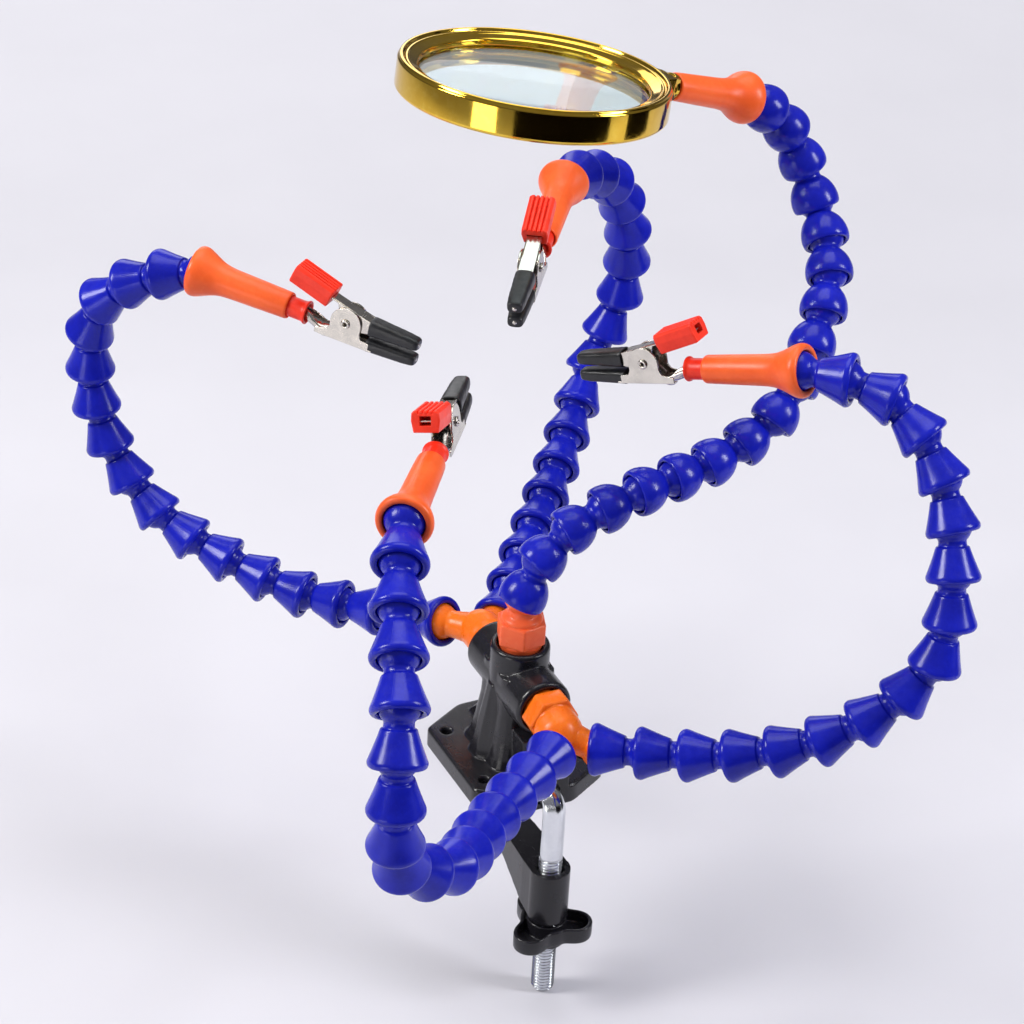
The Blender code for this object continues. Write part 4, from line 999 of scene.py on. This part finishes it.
def y_connector(name, at, axis, body, hexed, arms):
    """A spigot, a rounded body and a ball on a neck for each of two arms."""
    reach = PORT_REACH
    centre = vec(body)

    def turn(profile):
        return lathe(profile, origin=at, axis=axis)

    solids = [turn([
        (reach - 9, SPIGOT_R - 0.4), (reach - 8.6, SPIGOT_R), (reach - 3.9, SPIGOT_R),
        (reach + 1.2, SPIGOT_R + 0.2),
    ])]
    if hexed:
        foot = vec(at) + vec(axis) * (reach + 4.0)
        solids.append(turn([
            (reach - 1.2, 7.0), (reach + 0.6, 7.3), (reach + 4.0, 7.3), (reach + 7.2, 7.3),
            (reach + 8.0, 6.9),
        ]))
        run = float(np.linalg.norm(centre - foot))
        profile = [(0.0, 7.0), (run * 0.5, 7.7), (run, 8.0), *arc(run, 8.0, 92, 155, 14)]
        solids.append(lathe(profile, origin=foot, axis=centre - foot))
    else:
        far = float((centre - vec(at)) @ vec(axis))
        solids.append(turn([
            (reach - 1.5, 6.9), (reach + 0.3, 6.9), (reach + 0.5, 7.6), (reach + 0.9, 7.9),
            (reach + 2.0, 7.9), (reach + 2.4, 7.6), (reach + 2.6, 7.0), (reach + 3.2, 6.8),
            (reach + 8, 7.0),
        ]))
        solids.append(turn([
            (reach + 3.4, 6.9), (reach + 5.0, 7.2), (far, 7.3), *arc(far, 7.3, 92, 155, 14),
        ]))
    solids += [limb(centre, ARMS[arm]["path"][0]) for arm in arms]
    return softened(mesh_from(name, merged(*solids)), 0.24, 3)


piece("top_connector_moulding", top_connector(), CORAL, "base", "top_connector")
top_hexagon = hexagon(
    "top_hexagon", TOWER_TOP + 1.0, TOWER_TOP + 9.4, radius=8.75, at=(0, 0, 0), axis=(0, 0, 1),
    turn=radians(10.6),
)
piece("top_connector_hexagon", top_hexagon, CORAL, "base", sharp=38)
front_y = y_connector(
    "front_y", at=(0, 0, FRONT_PORT_Z), axis=(0, -1, 0),
    body=(0, -PORT_REACH - 10.5, FRONT_PORT_Z - 2.0), hexed=True, arms=("right", "front"),
)
piece("front_y_connector_moulding", front_y, ORANGE, "base", "front_y_connector")
front_hexagon = hexagon(
    "front_hexagon", PORT_REACH + 0.4, PORT_REACH + 7.7, radius=9.0, at=(0, 0, FRONT_PORT_Z),
    axis=(0, -1, 0),
)
piece("front_y_connector_hexagon", front_hexagon, ORANGE, "base", sharp=38)
back_y = y_connector(
    "back_y", at=(0, 0, BACK_PORT_Z), axis=(0, 1, 0),
    body=(0, PORT_REACH + 9.5, BACK_PORT_Z), hexed=False, arms=("left", "back"),
)
piece("back_y_connector_moulding", back_y, ORANGE, "base", "back_y_connector")

# ---------------------------------------------------------------- clips, made once in own frame
# the origin is on the nozzle's axis at its tip, +X runs along the nozzle, +Z to the lever side

PIVOT_HOLE = lathe([(-9, 1.3), (9, 1.3)], 32, (PIVOT_X, 0, PIVOT_Z), (0, 1, 0))
LEVER_LINE = ((1.5, 12.35), (14.0, 8.6), (26.0, 5.5), (JAW_TIP_X, 3.6))  # x, z of the lever top
SHEET_T = 0.58


def round_pivot(radius, angles):
    """(x, z) points on a circle round the pivot."""
    return [
        (PIVOT_X + radius * cos(radians(angle)), PIVOT_Z + radius * sin(radians(angle)))
        for angle in angles
    ]


def ear(y0, y1):
    """A rounded side plate that stands up round the pivot."""
    radius = 4.9
    front, rear = PIVOT_X + radius, PIVOT_X - radius
    outline = [
        (front + 3.4, -1.2), (front + 0.7, -0.9), (front, 0.4),
        *round_pivot(radius, range(0, 181, 6)), (rear + 0.1, 0.4), (rear - 0.6, -0.9),
        (rear - 4.4, -1.9), (rear - 4.4, -3.5), (front + 3.4, -3.5),
    ]
    return sheet_xz(outline, y0, y1)


def crimp():
    """The rolled tail: a strip of sheet bent round into a C that opens out into the channel."""
    stations = (  # x, centre z, half width, half height, span in degrees
        (-2.0, 0.0, 1.7, 1.7, 322), (3.0, 0.0, 1.7, 1.7, 322), (5.5, -0.15, 1.75, 1.7, 318),
        (7.4, -0.6, 2.0, 1.85, 290), (9.0, -1.1, 2.35, 1.95, 240),
        (10.6, -1.55, 2.65, 1.85, 205), (12.4, -1.85, 2.85, 1.5, 180),
        (14.0, -2.0, 2.85, 1.3, 180),
    )
    rings = []
    for x, middle, wide, tall, span in stations:
        outer, inner = [], []
        for angle in np.linspace(-90 - span / 2, -90 + span / 2, 25):
            cosine, sine = cos(radians(angle)), sin(radians(angle))
            outer.append((x, (wide + 0.26) * cosine, middle + (tall + 0.26) * sine))
            inner.append((x, (wide - 0.26) * cosine, middle + (tall - 0.26) * sine))
        rings.append(np.array(outer + inner[::-1]))
    return skin(rings)


def wedge(*ends):
    """A tapered bar between two ends, each given as x, half width, low z and high z."""
    return skin([
        np.array([(x, -half, low), (x, half, low), (x, half, high), (x, -half, high)])
        for x, half, low, high in ends
    ])


def lower_sheet():
    adds = [
        ear(-LOWER_HALF, -LOWER_HALF + SHEET_T), ear(LOWER_HALF - SHEET_T, LOWER_HALF), crimp(),
        wedge((27.0, 2.3, -3.3, -1.0), (JAW_TIP_X - 1.2, 1.2, -1.9, -0.8)),
    ]
    floor_sheet = box(11.0, 28.5, -LOWER_HALF, LOWER_HALF, -3.6, -3.02)
    return softened(joined("clip_lower_sheet", floor_sheet, adds, [PIVOT_HOLE]), 0.11, 1)


def lever_z(x):
    """Height of the lever's top. The first slope carries on behind its first point."""
    for (x0, z0), (x1, z1) in zip(LEVER_LINE, LEVER_LINE[1:]):
        if x <= x1:
            return z0 + (z1 - z0) * (x - x0) / (x1 - x0)


def upper_side(y0, y1):
    back = [(15.2, lever_z(15.2) - 0.2), (15.7, lever_z(15.7) - 1.9), (15.9, 5.4), (15.7, 3.6)]
    front = [(24.0, 1.0), (28.5, 2.0), (28.5, lever_z(28.5) - 0.2)]
    return sheet_xz([*back, *round_pivot(2.9, range(190, 351, 10)), *front], y0, y1)


def lever_top():
    half = UPPER_HALF
    rings = []
    for x in (0.6, 8.0, 14.0, 20.0, 26.0, 28.5):
        z = lever_z(x)
        rings.append(np.array([
            (x, -half, z - 0.6), (x, half, z - 0.6), (x, half, z - 0.14),
            (x, half - 0.4, z), (x, -half + 0.4, z), (x, -half, z - 0.14),
        ]))
    return skin(rings)


def upper_sheet():
    adds = [
        upper_side(-UPPER_HALF, -UPPER_HALF + 0.56), upper_side(UPPER_HALF - 0.56, UPPER_HALF),
        wedge((27.0, 1.9, 1.6, 5.0), (JAW_TIP_X - 1.2, 1.1, 1.75, 3.4)),
    ]
    return softened(joined("clip_upper_sheet", lever_top(), adds, [PIVOT_HOLE]), 0.11, 1)


def jaw_sleeve(name, lows, highs, phase):
    """A shrink tube tight over a jaw: flattened oval, eased lips and faint wrinkles.

    lows and highs are its z limits at the rear, near the front and at the front.
    """
    bends, halves = (26.2, 38.5, JAW_TIP_X), (3.05, 2.6, 2.2)
    rear, front = bends[0], bends[-1]
    stations = [  # x, x where the section is taken, growth
        (rear + 0.5, rear + 0.5, -0.55), (rear + 0.1, rear, -0.42), (rear, rear, -0.25),
        (rear + 0.08, rear, -0.08), (rear + 0.3, rear + 0.3, 0.0),
        *[(x, x, 0.0) for x in np.linspace(rear + 1.0, front - 1.4, 22)],
        (front - 0.9, front - 0.9, -0.03), (front - 0.5, front - 0.5, -0.16),
        (front - 0.25, front - 0.25, -0.34), (front - 0.2, front - 0.25, -0.52),
    ]
    angles = np.arange(44) * 2 * pi / 44
    cosine, sine = np.cos(angles), np.sin(angles)
    power = 2 / 3.2
    rings = []
    for x, taken, grow in stations:
        half, low, high = (np.interp(taken, bends, row) for row in (halves, lows, highs))
        y = np.sign(cosine) * np.abs(cosine) ** power * (half + grow)
        rise = np.sign(sine) * np.abs(sine) ** power * ((high - low) / 2 + grow)
        ripple = 0.035 * np.sin(3 * angles + 1.9 * x) * np.sin(0.9 * x + phase)
        z = (low + high) / 2 + rise + ripple * 0.6
        rings.append(np.column_stack([np.full(44, x), y * (1 + ripple * 0.5), z]))
    return mesh_from(name, skin(rings))


def nub(z):
    """The rounded end of a jaw where it comes out of its sleeve."""
    radius, tip = 0.9, JAW_TIP_X
    profile = [
        (tip - 1.6, radius), (tip - 0.7, radius), (tip - 0.35, radius * 0.9),
        (tip - 0.12, radius * 0.68), (tip, radius * 0.35),
    ]
    return mesh_from("jaw_nub", lathe(profile, 28, (0, 0, z), (1, 0, 0), (0, 1, 0)))


def tail_screw():
    profile = [
        (2.2, 1.15), (3.55, 1.15), (3.6, 1.75), (3.85, 1.88), (4.2, 1.82), (4.6, 1.5),
        (4.85, 1.0), (4.95, 0.4),
    ]
    screw = lathe(profile, 36, (12.4, 0, 0), (0, 0, -1))
    return joined("clip_tail_screw", screw, cuts=[box(10.0, 15.0, -0.24, 0.24, -5.6, -4.45)])


def eyelet():
    """A tube across the pivot with a rolled lip at each end."""
    lip = (
        (3.5, 0.6), (3.68, 0.75), (3.74, 1.0), (3.68, 1.25), (3.5, 1.42), (3.36, 1.45),
        (3.28, 1.4), (3.2, 1.15),
    )
    profile = [(-along, radius) for along, radius in lip] + [*reversed(lip)]
    profile += [(2.4, 0.55), (-2.4, 0.55)]
    at = (PIVOT_X, 0, PIVOT_Z)
    return mesh_from("clip_eyelet", lathe(profile, 36, at, (0, 1, 0), closed=True))


def torsion_spring():
    """Three turns of wire round the pivot, with a tail at each end."""
    steps, total, radius = 28, 84, 1.95
    line = [
        (PIVOT_X - 5.2, -1.15, PIVOT_Z - 4.6), (PIVOT_X - 3.4, -1.15, PIVOT_Z - 2.4),
    ]
    for k in range(1, total + 1):
        angle = radians(200) + 2 * pi * k / steps
        x, z = PIVOT_X + radius * cos(angle), PIVOT_Z + radius * sin(angle)
        line.append((x, -1.15 + 2.3 * k / total, z))
    line += [(PIVOT_X - 2.4, 1.15, PIVOT_Z + 0.2), (PIVOT_X - 3.0, 1.15, PIVOT_Z + 0.9)]
    rings = []
    for k, point in enumerate(line):
        way = unit(vec(line[min(k + 1, len(line) - 1)]) - vec(line[max(k - 1, 0)]))
        side = side_of(way, (0, 1, 0.001))
        rings.append(circle(vec(point), side, np.cross(way, side), 0.3, 10))
    return mesh_from("clip_spring", skin(rings))


def lever_grip():
    """A sleeve with five lengthwise ribs on top, a hole in its rear end and a slot in front."""
    end, wide, high, ribs = 13.5 / 2, 4.0, 6.0 / 2, 5
    pitch = 2 * (wide - 0.55) / ribs
    top = []
    for k in range(ribs):
        y = -wide + 0.55 + k * pitch
        top += [
            (y + 0.2 * pitch, high - 0.12), (y + 0.34 * pitch, high),
            (y + 0.66 * pitch, high), (y + 0.8 * pitch, high - 0.12),
        ]
        if k < ribs - 1:
            top += [(y + 0.94 * pitch, high - 1.0), (y + 1.06 * pitch, high - 1.0)]
    outline = [
        (-wide + 0.55, -high), (-wide, 0.2), (-wide + 0.2, high - 0.7), *top,
        (wide - 0.2, high - 0.7), (wide, 0.2), (wide - 0.55, -high),
    ]
    stations = ((-end, 0.93), (-end + 0.35, 1.0), (end - 0.3, 1.0), (end, 0.95))  # x, size
    blank = skin([np.array([(x, y * size, z * size) for y, z in outline]) for x, size in stations])
    cuts = [box(-9.0, -2.5, -1.55, 1.55, -1.1, 1.5), box(3.0, 8.0, -2.35, 2.35, -0.5, 0.55)]
    mesh = softened(joined("clip_grip_blank", blank, cuts=cuts), 0.12, 1)
    # lay it along the lever's slope
    (x0, z0), (x1, z1) = LEVER_LINE[:2]
    slope = atan2(z0 - z1, x1 - x0)
    at = vec((6.4, 0, lever_z(6.4) - 0.3))
    for vertex in mesh.vertices:
        x, y, z = vec(vertex.co) / MM
        tilted = (x * cos(slope) + z * sin(slope), y, -x * sin(slope) + z * cos(slope))
        vertex.co = Vector((at + vec(tilted)) * MM)
    mesh.update()
    return mesh


def tube_on_x(name, profile, sides):
    return mesh_from(name, lathe(profile, sides, axis=(1, 0, 0), hint=(0, 1, 0), closed=True))


LOWER = lower_sheet()
UPPER = upper_sheet()
UPPER_SLEEVE = jaw_sleeve("clip_upper_sleeve", (0.7, 1.25, 1.35), (6.1, 5.25, 4.8), phase=0.3)
LOWER_SLEEVE = jaw_sleeve("clip_lower_sleeve", (-4.4, -3.95, -3.6), (-0.1, -0.1, -0.2), phase=1.4)
UPPER_NUB, LOWER_NUB = nub(2.9), nub(-1.8)
TAIL_SCREW = tail_screw()
EYELET = eyelet()
SPRING_MESH = torsion_spring()
GRIP = lever_grip()
PLUG = tube_on_x("clip_plug_sleeve", [
    (-8.0, 3.1), (-7.6, 3.42), (-7.0, 3.5), (0.0, 3.5), (4.3, 3.5), (5.1, 3.55), (5.6, 3.72),
    (6.0, 3.98), (6.3, 4.1), (6.58, 4.06), (6.7, 3.86), (6.68, 3.5), (6.4, 3.1), (5.8, 2.8),
    (4.2, 2.65), (-7.9, 2.65),
], 56)
CORE = tube_on_x("clip_plug_core", [
    (-7.0, 2.0), (-7.0, 2.5), (5.0, 2.5), (5.3, 2.42), (5.4, 2.3), (5.1, 2.27), (-6.5, 2.27),
], 40)

# name, mesh, material, body, CAD node it replaces, sharp angle
CLIP_PARTS = (
    ("plug_sleeve", PLUG, RED, "clip", "plug", 60),
    ("plug_core", CORE, RED, "clip", None, 40),
    ("lower_jaw_sheet", LOWER, NICKEL, "clip", "lower_jaw", None),
    ("lower_sleeve", LOWER_SLEEVE, SLEEVE, "clip", None, 60),
    ("lower_nub", LOWER_NUB, NICKEL, "clip", None, None),
    ("tail_screw", TAIL_SCREW, NICKEL, "clip", None, 35),
    ("eyelet", EYELET, NICKEL, "clip", "rivet", 50),
    ("torsion_spring", SPRING_MESH, SPRING, "clip", "spring", None),
    ("upper_jaw_sheet", UPPER, NICKEL, "clip_lever", "upper_jaw", None),
    ("upper_sleeve", UPPER_SLEEVE, SLEEVE, "clip_lever", None, 60),
    ("upper_nub", UPPER_NUB, NICKEL, "clip_lever", None, None),
    ("lever_grip", GRIP, RED, "clip_lever", "grip", None),
)

# the plug and its core are already at full size
for _, part_mesh, *_ in CLIP_PARTS[2:]:
    part_mesh.transform(Matrix.Scale(CLIP_SIZE, 4))


def build_clip(arm):
    _, way, tip = LAYOUT[arm]
    lever = side_of(way, ARMS[arm]["lever"])
    here = placed(tip * MM, way, np.cross(lever, way), lever)
    for name, mesh, material, body, node, sharp in CLIP_PARTS:
        replaces = node and f"{arm}_clip_{node}"
        piece(f"{arm}_{name}", mesh, material, f"{arm}_{body}", replaces, here, sharp)


for arm_name in ARMS:
    if arm_name != "magnifier":
        build_clip(arm_name)

# ---------------------------------------------------------------- magnifier
# local axes: X from the stem's tip to the ring's centre, Z along the lens normal

_, STEM_WAY, STEM_TIP = LAYOUT["magnifier"]
OUTWARD = unit((-0.989, 0.080, 0.122))
NORMAL = side_of(OUTWARD, (0.128, 0.071, 0.989))
ACROSS = np.cross(NORMAL, OUTWARD)
HEAD = placed(STEM_TIP * MM, OUTWARD, ACROSS, NORMAL)
# the stem leans off X, bent at the lug
LEAN = vec([float(STEM_WAY @ axis) for axis in (OUTWARD, ACROSS, NORMAL)])
RING_AT = (FRAME_R + 5.0, 0, 0)
RING_SIDES = 160
FRAME_HALF = FRAME_H / 2
LEDGE_Z = -FRAME_HALF + 2.4
LENS_EDGE_HALF, LENS_RISE = 1.1, 2.6
LENS_LIFT = 1.5  # the glass and its keeper sit this much higher than the CAD's stand-ins
LENS_Z = LEDGE_Z + 0.3 + LENS_EDGE_HALF + LENS_LIFT


def ring_mesh(name, profile, closed=True):
    return mesh_from(name, lathe(profile, RING_SIDES, RING_AT, closed=closed))


def frame_ring():
    half = FRAME_HALF
    corners = [
        (-half, OPEN_R), (-half, FRAME_R - 0.9), (-half + 0.9, FRAME_R),
        (half - 1.3, FRAME_R - 0.02), (half - 0.7, FRAME_R - 0.5), (half, FRAME_R - 0.75),
        (half, FRAME_R - 1.75), (half - 1.0, FRAME_R - 2.1), (half - 1.1, FRAME_R - 2.6),
        (LEDGE_Z, FRAME_R - 2.9), (LEDGE_Z, OPEN_R),
    ]
    cuts = [0.5, 0.5, 0.5, 0.3, 0.25, 0.3, 0.3, 0.2, 0.3, 0.3, 0.4]
    return ring_mesh("magnifier_ring", rounded(corners, cuts))


def lug():
    """A bar that widens into the ring, and a round spigot down the nozzle."""
    stations = (  # share of X in the direction, distance, half width, low, high
        (0.0, 1.0, 3.6, -3.5, 3.5), (0.35, 3.0, 4.7, -3.8, 4.0), (1.0, 6.2, 7.3, -4.4, 4.5),
        (1.0, 6.9, 7.8, -4.5, 4.6),
    )
    rings = []
    for share, along, wide, low, high in stations:
        way = unit(LEAN * (1 - share) + vec((1, 0, 0)) * share)
        side = side_of(way, (0, 1, 0))
        other = np.cross(way, side)
        section = ((-wide, low), (wide, low), (wide, high), (-wide, high))
        rings.append(np.array([way * along + side * y + other * z for y, z in section]))
    profile = [(-9.0, 3.0), (-8.4, 3.45), (0.4, 3.45), (0.6, 4.3), (2.2, 4.3)]
    spigot = lathe(profile, 48, axis=LEAN, hint=(0, 0, 1))
    return softened(mesh_from("magnifier_lug", merged(skin(rings), spigot)), 0.16, 3)


def lens():
    """A glass disc with a flat edge and both faces domed."""
    low, high = LENS_Z - LENS_EDGE_HALF, LENS_Z + LENS_EDGE_HALF
    flat_r, edge_r = OPEN_R - 1.0, FRAME_R - 3.2
    shares = np.linspace(0.03, 1.0, 20)
    dome = [(LENS_RISE * (1 - share * share), flat_r * share) for share in shares]
    profile = [
        *[(low - rise, radius) for rise, radius in dome],
        (low, 38.4), (low, edge_r - 0.2), (low + 0.2, edge_r),
        (high - 0.2, edge_r), (high, edge_r - 0.2), (high, 38.4),
        *[(high + rise, radius) for rise, radius in reversed(dome)],
    ]
    return ring_mesh("magnifier_lens", profile, closed=False)


def keeper():
    half, low = FRAME_HALF, LENS_Z + LENS_EDGE_HALF
    corners = [
        (low + 0.1, OPEN_R + 0.3), (low + 0.1, FRAME_R - 3.1), (half - 1.9, FRAME_R - 2.95),
        (half - 0.75, FRAME_R - 2.7), (half - 0.75, FRAME_R - 3.3), (half - 1.3, FRAME_R - 3.8),
        (half - 2.1, FRAME_R - 6.2), (half - 2.5, OPEN_R + 0.15), (low + 0.6, OPEN_R),
    ]
    cuts = [0.3, 0.1, 0.1, 0.12, 0.2, 0.3, 0.3, 0.3, 0.2]
    return ring_mesh("magnifier_keeper", rounded(corners, cuts))


for part_name, make, material, node, sharp in (
    ("ring", frame_ring, GOLD, "magnifier_frame", 60),
    ("lug", lug, GOLD, None, None),
    ("lens_glass", lens, GLASS, "magnifier_lens", 50),
    ("keeper_ring", keeper, GOLD, "magnifier_retaining_ring", 60),
):
    piece(f"magnifier_{part_name}", make(), material, "magnifier_head", node, HEAD, sharp)

# ---------------------------------------------------------------- stage, light and camera

EYE = vec((-0.3956, -0.758, 0.618))
FORWARD = vec((0.3905, 0.7597, -0.5195))
RIGHT = vec((0.9010, -0.4301, 0.0485))
UP = vec((0.1866, 0.4871, 0.8531))
MIDDLE = (vec(cad_box[0]) + vec(cad_box[1])) / 2


def rectangle(name, half_x, half_y, z=0.0):
    mesh = bpy.data.meshes.new(name)
    corners = [(-half_x, -half_y), (half_x, -half_y), (half_x, half_y), (-half_x, half_y)]
    mesh.from_pydata([(x, y, z) for x, y in corners], [], [(0, 1, 2, 3)])
    return add_object(name, mesh)


def aim(obj, at, look, axis):
    """Put the object at a place with one of its axes towards another."""
    obj.location = Vector(at)
    obj.rotation_mode = "QUATERNION"
    obj.rotation_quaternion = (Vector(look) - Vector(at)).to_track_quat(axis, "Y")


def pale_paper():
    made = bpy.data.materials.new("pale paper")
    tree = Tree(made)
    where = tree.add("TexCoord", output="Object")
    cloud = tree.remap(tree.noise(where, 9.0, detail=3.0), 0.3, 0.7)
    # the far floor stays as pale as the near one, for the camera only
    away = tree.add("VectorMath", {0: where}, output="Value", operation="LENGTH")
    glow = tree.remap(away, 0.55, 1.7, to=(0.0, 0.42))
    seen = tree.add("LightPath", output="Is Camera Ray")
    tree.set(tree.nodes["Principled BSDF"], {
        "Base Color": tree.blend(cloud, (0.65, 0.64, 0.685), (0.675, 0.665, 0.71)),
        "Roughness": 0.75,
        "Emission Color": (0.93, 0.92, 0.97, 1.0),
        "Emission Strength": tree.math("MULTIPLY", glow, seen),
    })
    return made


floor = rectangle("floor", 6, 6, float(cad_box[0][2]) - 0.0004)
floor.data.materials.append(pale_paper())
floor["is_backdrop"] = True


def softbox(name, *, offset, wide, tall, watts, colour=(1, 1, 1)):
    """A rectangular light at an offset from the middle of the product, aimed back at it."""
    light = bpy.data.lights.new(name, "AREA")
    light.shape, light.size, light.size_y = "RECTANGLE", wide, tall
    light.energy, light.color = watts, colour
    obj = add_object(name, light)
    aim(obj, MIDDLE + offset, MIDDLE, "-Z")
    obj.visible_camera = False


softbox(
    "key", offset=-RIGHT * 0.95 - FORWARD * 0.55 + UP * 0.55, wide=0.34, tall=0.5, watts=10.5,
    colour=(1.0, 0.99, 0.97),
)
softbox(
    "fill", offset=RIGHT * 1.0 - FORWARD * 0.45 + UP * 0.35, wide=0.26, tall=0.5, watts=7.0,
    colour=(0.96, 0.97, 1.0),
)
softbox("top", offset=vec((0.1, 0.25, 1.15)), wide=0.9, tall=0.9, watts=6.5)
softbox(
    "rear", offset=vec((0.35, 1.25, 0.5)), wide=0.8, tall=0.5, watts=2.5,
    colour=(0.97, 0.97, 1.0),
)


def card_paint(name, inputs):
    made = bpy.data.materials.new(name)
    tree = Tree(made)
    tree.set(tree.nodes["Principled BSDF"], inputs)
    return made


def card(name, paint, *, at, look, wide, tall):
    """A card that is seen only in reflections."""
    obj = rectangle(name, wide / 2, tall / 2)
    obj.data.materials.append(paint)
    aim(obj, at, look, "Z")
    obj.visible_camera = obj.visible_diffuse = False
    obj.visible_shadow = obj.visible_transmission = False
    obj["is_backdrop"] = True


DARK = card_paint("dark card", {
    "Base Color": (0.004, 0.0035, 0.0045, 1), "Specular IOR Level": 0.0,
})
WHITE = card_paint("white card", {
    "Emission Color": (1.0, 0.98, 0.95, 1.0), "Emission Strength": 2.6,
})
card(
    "dark_card_front", DARK, at=(-0.01, -0.47, 0.105), look=(-0.01, 0.0, 0.11),
    wide=0.84, tall=0.26,
)
card(
    "white_card_left", WHITE, at=(-0.85, -0.36, 0.07), look=(0.02, 0.05, 0.22),
    wide=0.34, tall=0.36,
)
card("dark_card_side", DARK, at=(0.62, -0.2, 0.1), look=(0.0, 0.0, 0.15), wide=0.3, tall=0.5)


def studio():
    """A room that is paler overhead, dimmer in reflections and near white to the camera."""
    world = bpy.data.worlds.new("studio")
    scene.world = world
    tree = Tree(world)
    way = tree.add("TexCoord", output="Generated")
    height = tree.add("SeparateXYZ", {0: way}, output="Z")
    room = tree.blend(tree.remap(height, -0.05, 0.55), (0.3, 0.29, 0.31), (0.78, 0.78, 0.82))
    shiny = tree.blend(tree.remap(height, -0.3, 0.8), (0.1, 0.1, 0.11), (0.42, 0.42, 0.45))
    glossy = tree.add("LightPath", output="Is Glossy Ray")
    room = tree.blend(glossy, room, shiny)
    seen = tree.blend(glossy.node.outputs["Is Camera Ray"], room, (1.3, 1.29, 1.36))
    tree.set(tree.nodes["Background"], {"Color": seen, "Strength": 0.5})


studio()

camera = add_object("camera", bpy.data.cameras.new("camera"))
camera.data.sensor_width = 36.0
camera.data.lens = 108.984375
camera.data.clip_start, camera.data.clip_end = 0.01, 20.0
camera.matrix_world = placed(EYE, RIGHT, UP, -FORWARD)
scene.camera = camera
scene.view_settings.view_transform = "Standard"
scene.view_settings.look = "None"

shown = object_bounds()
sizes = {"cad": cad_box, "shown": shown}
sizes = {key: [list(map(float, point)) for point in box] for key, box in sizes.items()}
